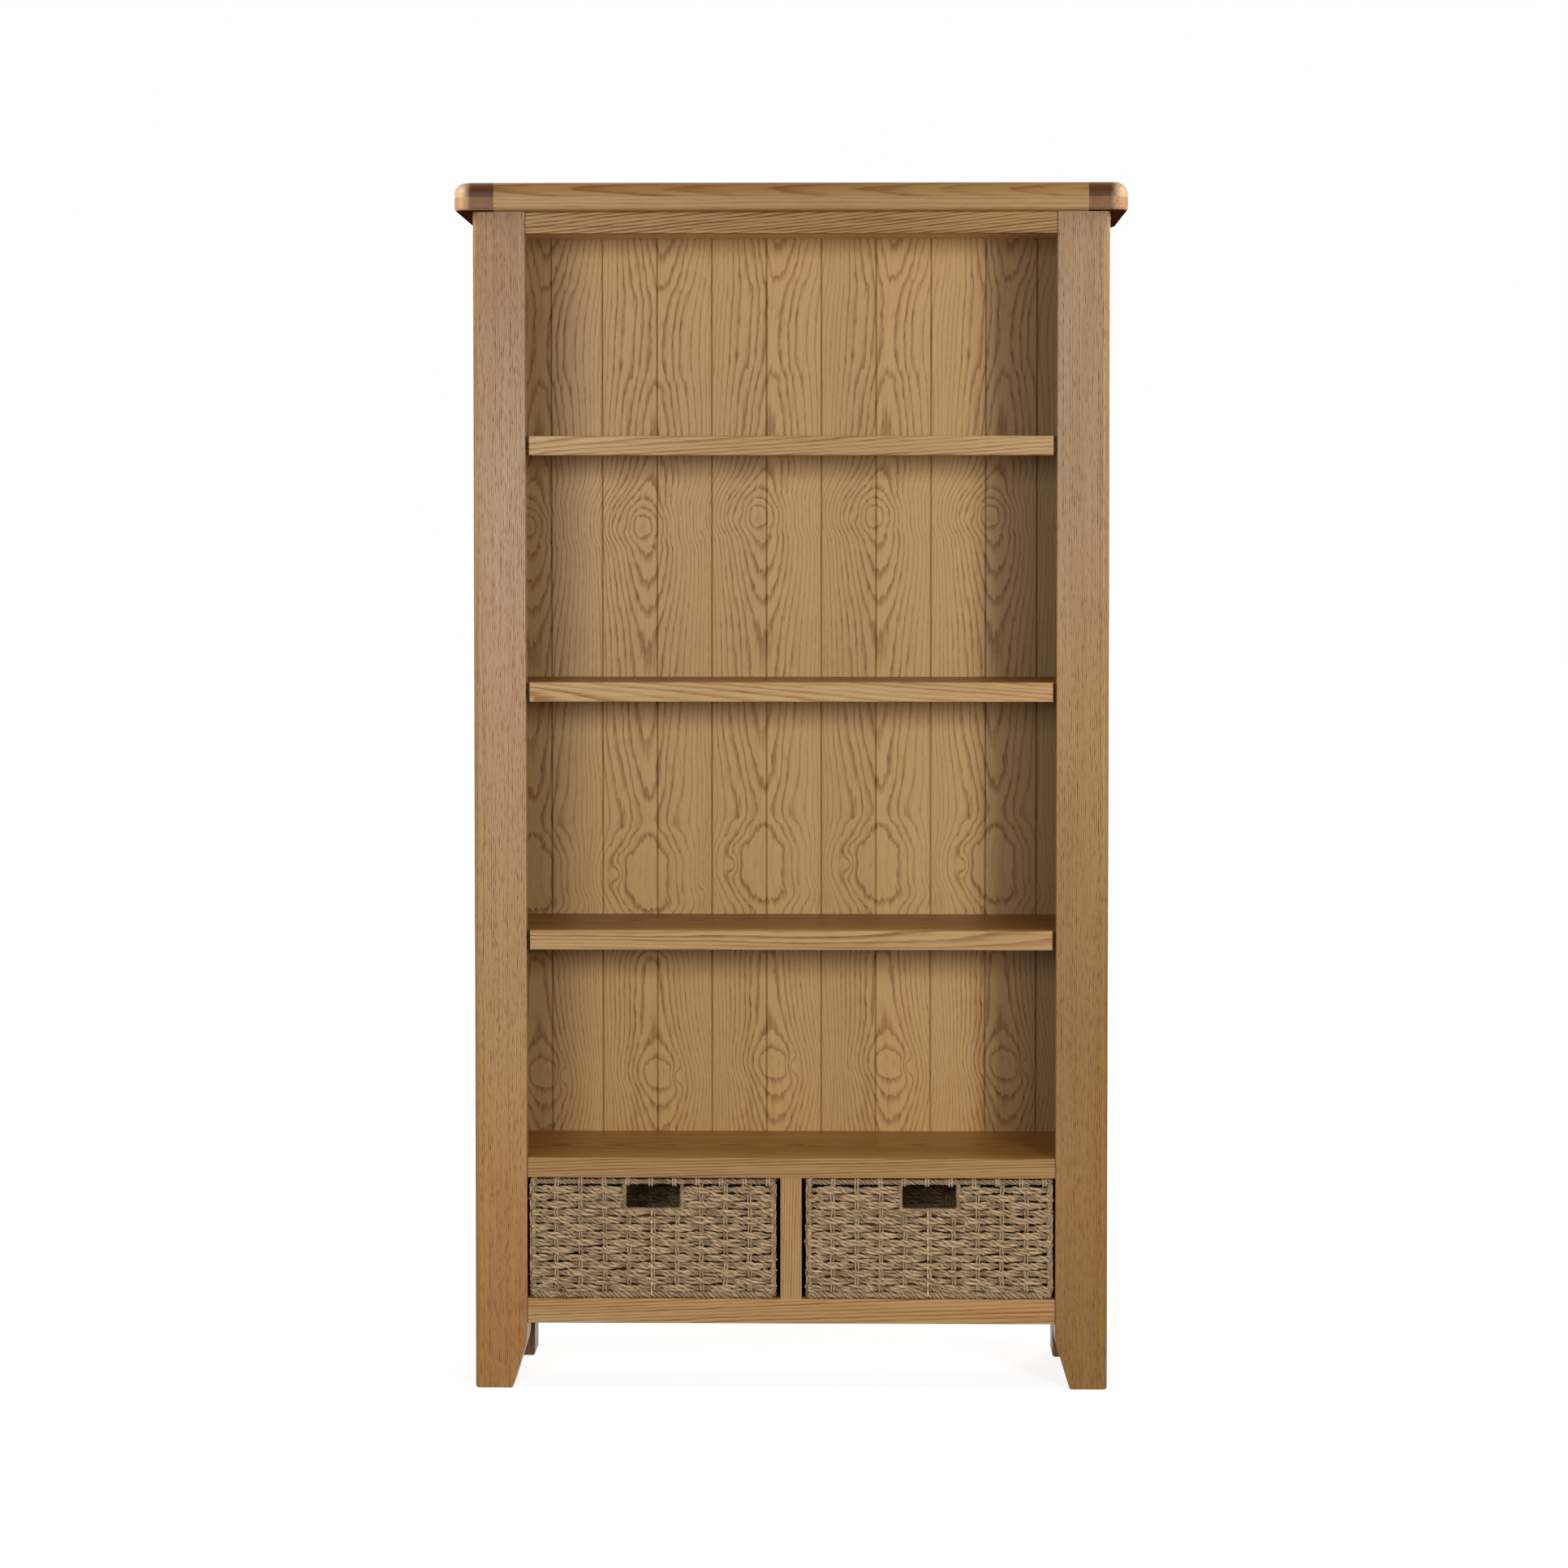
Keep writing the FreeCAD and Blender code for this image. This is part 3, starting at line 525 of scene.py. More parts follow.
class BasketSettings(bpy.types.PropertyGroup):
    """Sizes and colours of the woven baskets."""

    pale: bpy.props.FloatVectorProperty(
        name="Pale straw", description="Lightest colour of the seagrass",
        subtype="COLOR", default=linear("FBDCAE")
    )
    straw: bpy.props.FloatVectorProperty(
        name="Straw", description="Middle colour of the seagrass", subtype="COLOR", default=linear("D1B087")
    )
    brown: bpy.props.FloatVectorProperty(
        name="Brown", description="Darkest colour of the seagrass", subtype="COLOR", default=linear("927049")
    )
    row_height: bpy.props.FloatProperty(
        name="Row height", description="Height of one woven row", unit="LENGTH", default=0.0057
    )
    rope_radius: bpy.props.FloatProperty(
        name="Rope radius", description="Radius of the woven rope", unit="LENGTH", default=0.0028
    )
    border_radius: bpy.props.FloatProperty(
        name="Border radius", description="Radius of the ropes round the rim and corners",
        unit="LENGTH", default=0.0038
    )
    base_radius: bpy.props.FloatProperty(
        name="Base radius", description="Radius of the rope round the base", unit="LENGTH", default=0.0048
    )
    stake_spacing: bpy.props.FloatProperty(
        name="Stake spacing", description="Distance between the pairs of upright stakes",
        unit="LENGTH", default=0.036
    )


class StageSettings(bpy.types.PropertyGroup):
    """Camera and light."""

    camera_place: bpy.props.FloatVectorProperty(
        name="Camera", description="Where the camera stands",
        subtype="TRANSLATION", default=(0.0958, -6.2499, 1.2523)
    )
    camera_tilt: bpy.props.FloatProperty(
        name="Tilt", description="How far the camera looks down", subtype="ANGLE", default=0.0373
    )
    camera_yaw: bpy.props.FloatProperty(
        name="Turn", description="How far the camera looks to the left", subtype="ANGLE", default=0.01741
    )
    lens: bpy.props.FloatProperty(name="Lens", description="Focal length", unit="CAMERA", default=94.08)
    lens_shift: bpy.props.FloatProperty(
        name="Shift", description="How far the camera's picture is shifted down", default=-0.05
    )
    world_level: bpy.props.FloatProperty(
        name="World level", description="Strength of the even light from all around", default=0.065
    )


# Baskets


# How many uneven places the rope has to a metre, how thick they get, and by how many turns the twist slips.
UNEVEN_PER_METRE = 55.0
UNEVEN_RANGE = {1: 0.25, 2: 0.75, 3: 0.82, 4: 1.16}
TWIST_SLIP = 1.2


def twisted_rope_tree():
    """A rope of two or three plies along curves: a lobed section that turns as it goes."""
    inputs = {
        "Curve": "Geometry",
        "Radius": 0.003,
        "Plies": 2.0,
        "Ply Depth": 0.24,
        "Twist Length": 0.02,
        "Thickness": 1.0,
        "Recess": 0.0,
        "Sides": 10,
        "Seed": 0,
    }
    tree, given = new_tree("twisted_rope", "GeometryNodeTree", inputs, {"Mesh": "Geometry"})
    length = add(tree, "GeometryNodeSplineParameter", out="Length")
    index = add(tree, "GeometryNodeInputIndex")
    lot = add(tree, "FunctionNodeRandomValue", {2: 0.0, 3: 1.0, "ID": index, "Seed": given["Seed"]}, out=1)
    curve = given["Curve"]
    marks = (("strand", lot, "CURVE"), ("along", length, "POINT"), ("recess", given["Recess"], "POINT"))
    for name, value, domain in marks:
        stored = {"Geometry": curve, "Name": name, "Value": value}
        curve = add(tree, "GeometryNodeStoreNamedAttribute", stored, data_type="FLOAT", domain=domain)
    strand = add(tree, "GeometryNodeInputNamedAttribute", {"Name": "strand"}, data_type="FLOAT")
    position = add(tree, "GeometryNodeInputPosition")
    beat = add(tree, "ShaderNodeVectorMath", {0: position, 3: UNEVEN_PER_METRE}, operation="SCALE")
    uneven = {"Vector": beat, "W": strand, "Scale": 1.0, "Detail": 1.0}
    uneven = add(tree, "ShaderNodeTexNoise", uneven, noise_dimensions="4D")
    thickness = add(tree, "ShaderNodeMapRange", {0: uneven, **UNEVEN_RANGE})
    thickness = add(tree, "ShaderNodeMath", (thickness, given["Thickness"]), operation="MULTIPLY")
    curve = add(tree, "GeometryNodeSetCurveNormal", {"Curve": curve}, mode="MINIMUM_TWIST")
    turns = add(tree, "ShaderNodeMath", (length, given["Twist Length"]), operation="DIVIDE")
    turns = add(tree, "ShaderNodeMath", (turns, strand), operation="ADD")
    turns = add(tree, "ShaderNodeMath", (uneven, TWIST_SLIP, turns), operation="MULTIPLY_ADD")
    tilt = add(tree, "ShaderNodeMath", (turns, 2 * math.pi), operation="MULTIPLY")
    curve = add(tree, "GeometryNodeSetCurveTilt", {"Curve": curve, "Tilt": tilt})

    ring = {"Resolution": given["Sides"], "Radius": 1.0}
    ring = add(tree, "GeometryNodeCurvePrimitiveCircle", ring, mode="RADIUS")
    parts = add(tree, "ShaderNodeSeparateXYZ", (position,)).node.outputs
    angle = add(tree, "ShaderNodeMath", (parts["Y"], parts["X"]), operation="ARCTAN2")
    lobes = add(tree, "ShaderNodeMath", (angle, given["Plies"]), operation="MULTIPLY")
    lobes = add(tree, "ShaderNodeMath", (lobes,), operation="COSINE")
    for name, value, kind in (("around", position, "FLOAT_VECTOR"), ("crest", lobes, "FLOAT")):
        stored = {"Geometry": ring, "Name": name, "Value": value}
        ring = add(tree, "GeometryNodeStoreNamedAttribute", stored, data_type=kind, domain="POINT")
    reach = add(tree, "ShaderNodeMath", (lobes, given["Ply Depth"], 1.0), operation="MULTIPLY_ADD")
    reach = add(tree, "ShaderNodeMath", (reach, given["Radius"]), operation="MULTIPLY")
    pressed = add(tree, "ShaderNodeVectorMath", {0: position, 3: reach}, operation="SCALE")
    section = add(tree, "GeometryNodeSetPosition", {"Geometry": ring, "Position": pressed})
    mesh = {"Curve": curve, "Profile Curve": section, "Scale": thickness, "Fill Caps": True}
    mesh = add(tree, "GeometryNodeCurveToMesh", mesh)
    mesh = add(tree, "GeometryNodeSetShadeSmooth", {"Geometry": mesh}, domain="FACE")
    add(tree, "NodeGroupOutput", {"Mesh": mesh})
    return tree


def open_hole_tree():
    """Takes the points inside a box out of curves, and leaves the ends either side of it."""
    inputs = {"Curve": "Geometry", "Low": "Vector", "High": "Vector"}
    tree, given = new_tree("open_hole", "GeometryNodeTree", inputs, {"Curve": "Geometry"})
    edges = add(tree, "GeometryNodeCurveToMesh", {"Curve": given["Curve"]})
    position = add(tree, "GeometryNodeInputPosition")
    past = {}
    for place, (limit, operation) in enumerate((("Low", "GREATER_THAN"), ("High", "LESS_THAN"))):
        kind = {"data_type": "VECTOR", "mode": "ELEMENT", "operation": operation}
        past[place] = add(tree, "FunctionNodeCompare", {4: position, 5: given[limit]}, **kind)
    inside = add(tree, "FunctionNodeBooleanMath", past, operation="AND")
    cut = {"Geometry": edges, "Selection": inside}
    edges = add(tree, "GeometryNodeDeleteGeometry", cut, domain="POINT", mode="ALL")
    add(tree, "NodeGroupOutput", {"Curve": add(tree, "GeometryNodeMeshToCurve", {"Mesh": edges})})
    return tree


def either_side(tree, points, direction, gap):
    """The points twice, moved this far both ways along a direction."""
    lots = []
    for sign in (-1, 1):
        reach = add(tree, "ShaderNodeMath", (gap, sign), operation="MULTIPLY")
        aside = add(tree, "ShaderNodeVectorMath", {0: direction, 3: reach}, operation="SCALE")
        lots.append(add(tree, "GeometryNodeSetPosition", {"Geometry": points, "Offset": aside}))
    return add(tree, "GeometryNodeJoinGeometry", (lots,))


def end_with_material(tree, mesh, given):
    """End a tree with its instances made real, in the given material."""
    mesh = add(tree, "GeometryNodeRealizeInstances", {"Geometry": mesh})
    mesh = add(tree, "GeometryNodeSetMaterial", {"Geometry": mesh, "Material": given["Material"]})
    add(tree, "NodeGroupOutput", {"Geometry": mesh})
    return tree


# How far a rope swings behind its stakes before it starts to be squeezed, and to what it is squeezed.
BEHIND_RANGE = {1: 0.2, 2: -1.0}
SQUEEZE_RANGE = {3: 0.03, 4: 0.2}
THINNED_RANGE = {3: 1.03, 4: 0.8}
# The waves by which the rows and the stakes wander, to a metre, and how far the stakes do, in metres.
ROW_WAVES, STAKE_WAVES, STAKE_WANDER = 42.0, 30.0, 0.004
ROW_SEED_STEP = 3.7
# The stakes' waves start this share of a wave after the rows' do.
STAKE_LAG = 0.25


def woven_wall_tree():
    """Rows of rope that pass in front of and behind pairs of stakes, two rows at a time."""
    inputs = {
        "Geometry": "Geometry",
        "Rows": 28,
        "Row Step": (0, 0, 0.0057),
        "Rope Radius": 0.0027,
        "Stakes": 10,
        "Stake Radius": 0.0015,
        "Stake Gap": 0.002,
        "Swing": 0.0025,
        "Stake Swing": 0.0022,
        "Jitter": 0.0055,
        "Sampling": 0.0016,
        "Sides": 10,
        "Twist Length": 0.03,
        "Hole Low": "Vector",
        "Hole High": "Vector",
        "Seed": 0,
        "Material": "Material",
    }
    tree, given = new_tree("woven_wall", "GeometryNodeTree", inputs, {"Geometry": "Geometry"})
    path = add(tree, "GeometryNodeMeshToCurve", {"Mesh": given["Geometry"]})
    step = add(tree, "ShaderNodeVectorMath", (given["Row Step"],), out="Value", operation="LENGTH")
    up = add(tree, "ShaderNodeVectorMath", (given["Row Step"],), operation="NORMALIZE")
    position = add(tree, "GeometryNodeInputPosition")

    def outward_of(tangent):
        """The direction that points out of the wall."""
        out = add(tree, "ShaderNodeVectorMath", (tangent, up), operation="CROSS_PRODUCT")
        return add(tree, "ShaderNodeVectorMath", (out,), operation="NORMALIZE")

    def wandering(seed, waves, detail, reach):
        """A small offset that changes from place to place."""
        noise = {"Vector": position, "W": seed, "Scale": waves, "Detail": detail}
        noise = add(tree, "ShaderNodeTexNoise", noise, out="Color", noise_dimensions="4D")
        noise = add(tree, "ShaderNodeVectorMath", (noise, (0.5, 0.5, 0.5)), operation="SUBTRACT")
        return add(tree, "ShaderNodeVectorMath", {0: noise, 3: reach}, operation="SCALE")

    fine = add(tree, "GeometryNodeResampleCurve", {"Curve": path, "Length": given["Sampling"]}, mode="LENGTH")
    rows = {"Geometry": fine, "Amount": given["Rows"]}
    rows = add(tree, "GeometryNodeDuplicateElements", rows, domain="SPLINE")
    row = rows.node.outputs["Duplicate Index"]
    outward = outward_of(add(tree, "GeometryNodeInputTangent"))
    half_row = add(tree, "ShaderNodeMath", (row, 0.5), operation="MULTIPLY")
    pair = add(tree, "ShaderNodeMath", (half_row,), operation="FLOOR")
    factor = add(tree, "GeometryNodeSplineParameter", out="Factor")
    beat = add(tree, "ShaderNodeMath", (factor, given["Stakes"], pair), operation="MULTIPLY_ADD")
    beat = add(tree, "ShaderNodeMath", (beat, math.pi), operation="MULTIPLY")
    wave = add(tree, "ShaderNodeMath", (beat,), operation="COSINE")
    swing = add(tree, "ShaderNodeMath", (wave, given["Swing"]), operation="MULTIPLY")
    swung = add(tree, "ShaderNodeVectorMath", {0: outward, 3: swing}, operation="SCALE")
    member = add(tree, "ShaderNodeMath", (half_row,), operation="FRACT")
    behind = add(tree, "ShaderNodeMapRange", {0: wave, **BEHIND_RANGE}, interpolation_type="SMOOTHSTEP")
    squeeze = add(tree, "ShaderNodeMapRange", {0: behind, **SQUEEZE_RANGE})
    pinch = add(tree, "ShaderNodeMapRange", {0: member, 2: 0.5, 3: 1.0, 4: -1.0})
    pinch = add(tree, "ShaderNodeMath", (pinch, squeeze), operation="MULTIPLY")
    rise = add(tree, "ShaderNodeMath", (row, pinch), operation="ADD")
    rise = add(tree, "ShaderNodeMath", (rise, step), operation="MULTIPLY")
    risen = add(tree, "ShaderNodeVectorMath", {0: up, 3: rise}, operation="SCALE")
    drift = {0: row, 1: ROW_SEED_STEP, 2: given["Seed"]}
    drift = add(tree, "ShaderNodeMath", drift, operation="MULTIPLY_ADD")
    moved = add(tree, "ShaderNodeVectorMath", (swung, risen), operation="ADD")
    uneven = wandering(drift, ROW_WAVES, 2.0, given["Jitter"])
    moved = add(tree, "ShaderNodeVectorMath", (moved, uneven), operation="ADD")
    behind = {"Geometry": rows, "Name": "behind", "Value": behind}
    rows = add(tree, "GeometryNodeStoreNamedAttribute", behind, data_type="FLOAT", domain="POINT")
    wefts = add(tree, "GeometryNodeSetPosition", {"Geometry": rows, "Offset": moved})

    count = add(tree, "ShaderNodeMath", (given["Stakes"], 1), operation="ADD")
    points = add(tree, "GeometryNodeCurveToPoints", {"Curve": path, "Count": count}, mode="COUNT")
    side = points.node.outputs["Tangent"]
    index = add(tree, "GeometryNodeInputIndex")
    for name, value, kind in (("outward", outward_of(side), "FLOAT_VECTOR"), ("stake", index, "FLOAT")):
        stored = {"Geometry": points, "Name": name, "Value": value}
        points = add(tree, "GeometryNodeStoreNamedAttribute", stored, data_type=kind, domain="POINT")
    points = either_side(tree, points, side, given["Stake Gap"])
    last = add(tree, "ShaderNodeMath", (given["Rows"], step), operation="MULTIPLY")
    stake = add(tree, "GeometryNodeCurvePrimitiveLine", {"Direction": up, "Length": last}, mode="DIRECTION")
    stakes = add(tree, "GeometryNodeInstanceOnPoints", {"Points": points, "Instance": stake})
    stakes = add(tree, "GeometryNodeRealizeInstances", {"Geometry": stakes})
    stakes = {"Curve": stakes, "Length": given["Sampling"]}
    stakes = add(tree, "GeometryNodeResampleCurve", stakes, mode="LENGTH")
    number = add(tree, "GeometryNodeInputNamedAttribute", {"Name": "stake"}, data_type="FLOAT")
    out_there = {"Name": "outward"}
    out_there = add(tree, "GeometryNodeInputNamedAttribute", out_there, data_type="FLOAT_VECTOR")
    height = add(tree, "GeometryNodeSplineParameter", out="Length")
    double_step = add(tree, "ShaderNodeMath", (step, 2.0), operation="MULTIPLY")
    climb = add(tree, "ShaderNodeMath", (height, double_step), operation="DIVIDE")
    climb = add(tree, "ShaderNodeMath", (climb, number), operation="ADD")
    climb = add(tree, "ShaderNodeMath", (climb, STAKE_LAG), operation="SUBTRACT")
    climb = add(tree, "ShaderNodeMath", (climb, math.pi), operation="MULTIPLY")
    sway = add(tree, "ShaderNodeMath", (climb,), operation="COSINE")
    sway = add(tree, "ShaderNodeMath", (sway, -1.0), operation="MULTIPLY")
    sway = add(tree, "ShaderNodeMath", (sway, given["Stake Swing"]), operation="MULTIPLY")
    swayed = add(tree, "ShaderNodeVectorMath", {0: out_there, 3: sway}, operation="SCALE")
    wander = wandering(number, STAKE_WAVES, 1.0, STAKE_WANDER)
    swayed = add(tree, "ShaderNodeVectorMath", (swayed, wander), operation="ADD")
    stakes = add(tree, "GeometryNodeSetPosition", {"Geometry": stakes, "Offset": swayed})

    # How far each rope lies behind its stakes, which also sets the painted shade in the seagrass.
    behind = add(tree, "GeometryNodeInputNamedAttribute", {"Name": "behind"}, data_type="FLOAT")
    thinned = add(tree, "ShaderNodeMapRange", {0: behind, **THINNED_RANGE})
    kinds = ((wefts, given["Rope Radius"], thinned), (stakes, given["Stake Radius"], 1.0))
    meshes = []
    for curves, radius, thickness in kinds:
        hole = {"Curve": curves, "Low": given["Hole Low"], "High": given["Hole High"]}
        cut = add(tree, "GeometryNodeGroup", hole, node_tree=bpy.data.node_groups["open_hole"])
        rope = {"Curve": cut, "Radius": radius, "Thickness": thickness, "Recess": behind}
        rope.update({name: given[name] for name in ("Twist Length", "Sides", "Seed")})
        meshes.append(add(tree, "GeometryNodeGroup", rope, node_tree=bpy.data.node_groups["twisted_rope"]))
    return end_with_material(tree, add(tree, "GeometryNodeJoinGeometry", (meshes,)), given)


def rope_border_tree():
    """Twisted rope along each edge path."""
    inputs = {
        "Geometry": "Geometry",
        "Radius": 0.0038,
        "Plies": 3.0,
        "Ply Depth": 0.16,
        "Twist Length": 0.022,
        "Sampling": 0.0013,
        "Sides": 18,
        "Seed": 0,
        "Material": "Material",
    }
    tree, given = new_tree("rope_border", "GeometryNodeTree", inputs, {"Geometry": "Geometry"})
    curve = {"Curve": add(tree, "GeometryNodeMeshToCurve", {"Mesh": given["Geometry"]})}
    curve["Length"] = given["Sampling"]
    rope = {name: given[name] for name in ("Radius", "Plies", "Ply Depth", "Twist Length", "Sides", "Seed")}
    rope["Curve"] = add(tree, "GeometryNodeResampleCurve", curve, mode="LENGTH")
    mesh = add(tree, "GeometryNodeGroup", rope, node_tree=bpy.data.node_groups["twisted_rope"])
    return end_with_material(tree, mesh, given)


LOOP_STEPS = 22


def rope_loops_tree():
    """Upright loops of thin rope in pairs along a path, each round what lies on the path."""
    inputs = {
        "Geometry": "Geometry",
        "Spacing": 0.036,
        "Gap": 0.002,
        "Half Depth": 0.005,
        "Half Height": 0.007,
        "Radius": 0.0013,
        "Twist Length": 0.012,
        "Sides": 8,
        "Seed": 0,
        "Material": "Material",
    }
    tree, given = new_tree("rope_loops", "GeometryNodeTree", inputs, {"Geometry": "Geometry"})
    path = add(tree, "GeometryNodeMeshToCurve", {"Mesh": given["Geometry"]})
    path = {"Curve": path, "Length": given["Spacing"]}
    points = add(tree, "GeometryNodeCurveToPoints", path, mode="LENGTH")
    # A path that rises has no level direction of its own, so it gets a little of X.
    level = {0: points.node.outputs["Tangent"], 1: (1, 1, 0), 2: (0.001, 0, 0)}
    level = add(tree, "ShaderNodeVectorMath", level, operation="MULTIPLY_ADD")
    sideways = add(tree, "ShaderNodeVectorMath", (level,), operation="NORMALIZE")
    turned = {0: (0, 0, 1), 1: sideways}
    turned = add(tree, "FunctionNodeAxesToRotation", turned, primary_axis="Z", secondary_axis="X")
    circle = {"Resolution": LOOP_STEPS, "Radius": 1.0}
    circle = add(tree, "GeometryNodeCurvePrimitiveCircle", circle, mode="RADIUS")
    parts = add(tree, "ShaderNodeSeparateXYZ", {0: add(tree, "GeometryNodeInputPosition")}).node.outputs
    deep = add(tree, "ShaderNodeMath", (parts["X"], given["Half Depth"]), operation="MULTIPLY")
    high = add(tree, "ShaderNodeMath", (parts["Y"], given["Half Height"]), operation="MULTIPLY")
    upright = add(tree, "ShaderNodeCombineXYZ", {1: deep, 2: high})
    loop = add(tree, "GeometryNodeSetPosition", {"Geometry": circle, "Position": upright})
    points = either_side(tree, points, sideways, given["Gap"])
    loops = {"Points": points, "Instance": loop, "Rotation": turned}
    loops = add(tree, "GeometryNodeInstanceOnPoints", loops)
    rope = {name: given[name] for name in ("Radius", "Twist Length", "Sides", "Seed")}
    rope["Curve"] = add(tree, "GeometryNodeRealizeInstances", {"Geometry": loops})
    mesh = add(tree, "GeometryNodeGroup", rope, node_tree=bpy.data.node_groups["twisted_rope"])
    return end_with_material(tree, mesh, given)


# The fibres are 0.5 mm wide. They are drawn about 1.5 mm wide and 15 mm long, which is as fine as shows.
FIBRES_ALONG, FIBRES_AROUND, FIBRE_SEEDS = 70.0, 2.4, 40.0
FIBRE_RANGE = {1: 0.45, 2: 0.66, 4: 1.0}
# A rope's shade changes this often to a metre, and from rope to rope by this much.
SHADES_ALONG, SHADE_OF_ROPE = 26.0, 0.25
BROWN_RANGE = {1: 0.5, 2: 0.85, 3: 0.0, 4: 0.8}
# The painted shade in the grooves between the plies, by the rope's crests.
GROOVE_RANGE = {1: -1.0, 2: 0.1, 3: 0.38, 4: 1.0}
# How dark the painted shade is where a rope lies behind the stakes.
RECESS_SHADE = 0.62


def seagrass(name, settings, lift=1.0, paleness=0.0):
    """Seagrass: dry leaf fibres twisted into rope, matt, straw to grey brown."""
    # Each rope has its own tone, and fibres run along the plies. Painted shade darkens the grooves between
    # the plies, and the rope where it lies behind the stakes.
    material, tree = new_material(name)
    along, strand, recess, crest = (
        add(tree, "ShaderNodeAttribute", out="Fac", attribute_name=part)
        for part in ("along", "strand", "recess", "crest")
    )
    around = add(tree, "ShaderNodeAttribute", out="Vector", attribute_name="around")
    parts = add(tree, "ShaderNodeSeparateXYZ", (around,)).node.outputs
    seed = add(tree, "ShaderNodeMath", (strand, FIBRE_SEEDS), operation="MULTIPLY")
    run = add(tree, "ShaderNodeMath", (along, FIBRES_ALONG), operation="MULTIPLY")
    fibres = add(tree, "ShaderNodeCombineXYZ", (parts["X"], parts["Y"], run))
    fibres = {0: fibres, 1: (FIBRES_AROUND, FIBRES_AROUND, 1.0)}
    fibres = add(tree, "ShaderNodeVectorMath", fibres, operation="MULTIPLY")
    fibres = {"Vector": fibres, "W": seed, "Scale": 1.0, "Detail": 3.0, "Roughness": 0.65}
    fibres = add(tree, "ShaderNodeTexNoise", fibres, noise_dimensions="4D")
    shades = add(tree, "ShaderNodeMath", (along, SHADES_ALONG, seed), operation="MULTIPLY_ADD")
    shades = {"W": shades, "Scale": 1.0, "Detail": 2.0}
    shades = add(tree, "ShaderNodeTexNoise", shades, noise_dimensions="1D")
    mixed = add(tree, "ShaderNodeMath", (strand, SHADE_OF_ROPE, shades), operation="MULTIPLY_ADD")
    browned = {0: add(tree, "ShaderNodeMapRange", {0: mixed, **BROWN_RANGE})}
    browned.update({6: [*settings.straw, 1], 7: [*settings.brown, 1]})
    colour = add(tree, "ShaderNodeMix", browned, out=2, data_type="RGBA")
    pale = {0: add(tree, "ShaderNodeMapRange", {0: fibres, **FIBRE_RANGE, 3: paleness})}
    pale.update({6: colour, 7: [*settings.pale, 1]})
    colour = add(tree, "ShaderNodeMix", pale, out=2, data_type="RGBA")
    # Painted shade in the grooves between the plies.
    groove = add(tree, "ShaderNodeMapRange", {0: crest, **GROOVE_RANGE})
    # Painted shade where the rope lies behind the stakes, scaled by lift.
    sunk = add(tree, "ShaderNodeMapRange", {0: recess, 3: lift, 4: RECESS_SHADE * lift})
    groove = add(tree, "ShaderNodeMath", (groove, sunk), operation="MULTIPLY")
    grey = add(tree, "ShaderNodeCombineColor", (groove, groove, groove))
    over = {0: 1.0, 6: colour, 7: grey}
    colour = add(tree, "ShaderNodeMix", over, out=2, data_type="RGBA", blend_type="MULTIPLY")
    relief = add(tree, "ShaderNodeBump", {"Strength": 0.5, "Distance": 0.3 * MM, "Height": fibres})
    shade(tree, colour, relief, Roughness=0.78, IOR=1.45)
    return material


def run_nodes(obj, tree, values):
    """Run a tree on an object's mesh with the given inputs, and keep the result as a plain mesh."""
    add_modifier(obj, tree, values)
    graph = bpy.context.evaluated_depsgraph_get()
    evaluated = obj.evaluated_get(graph)
    mesh = bpy.data.meshes.new_from_object(evaluated, preserve_all_data_layers=True, depsgraph=graph)
    if not mesh.polygons:
        raise RuntimeError(f"{tree.name} made nothing for {obj.name}")
    obj.modifiers.clear()
    obj.data = mesh
    mesh.name = obj.name


def path_object(name, paths):
    """An object whose mesh is bare edges. paths are lists of points, and whether each is closed."""
    points = []
    edges = []
    for path, closed in paths:
        first = len(points)
        points += [tuple(point) for point in path]
        edges += [(place, place + 1) for place in range(first, len(points) - 1)]
        if closed:
            edges.append((len(points) - 1, first))
    mesh = bpy.data.meshes.new(name)
    mesh.from_pydata(points, edges, [])
    return new_object(name, mesh)


CORNER_STEPS = 6


def rounded_corners(low, high, radius, height):
    """Points of a level rectangle with rounded corners, anticlockwise from its front right corner."""
    points = []
    corners = ((high[0], low[1], -90), (high[0], high[1], 0), (low[0], high[1], 90), (low[0], low[1], 180))
    for x, y, start in corners:
        middle_x = x - radius if x == high[0] else x + radius
        middle_y = y - radius if y == high[1] else y + radius
        for step in range(CORNER_STEPS + 1):
            angle = math.radians(start + 90 * step / CORNER_STEPS)
            points.append((middle_x + radius * math.cos(angle), middle_y + radius * math.sin(angle), height))
    return points


class Basket:
    """The sizes of one basket, from its CAD node."""

    wall = 10 * MM
    corner = 9 * MM
    hole_half_width = 41 * MM
    hole_height = 38 * MM
    hole_bridge = 6 * MM

    def __init__(self, side, settings):
        self.node = f"basket_weave_{side}"
        self.body = f"basket_{side}"
        self.low, self.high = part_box(self.node)
        inset = Vector((self.wall / 2, self.wall / 2, 0))
        self.path_low = self.low + inset
        self.path_high = self.high - inset
        self.border = settings.border_radius
        self.base = settings.base_radius
        self.middle = (self.low.x + self.high.x) / 2
        self.hole_top = self.high.z - self.hole_bridge
        self.hole_bottom = self.hole_top - self.hole_height
        self.seed = 3 + SIDES.index(side) * 11

    def outline(self, radius, height):
        """The path of a rope of this radius that lies round the basket."""
        inset = Vector((radius, radius, 0))
        return rounded_corners(self.low + inset, self.high - inset, self.corner, height)

    def ride(self, obj):
        """Carry a finished piece on this basket's body."""
        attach(obj, self.body)


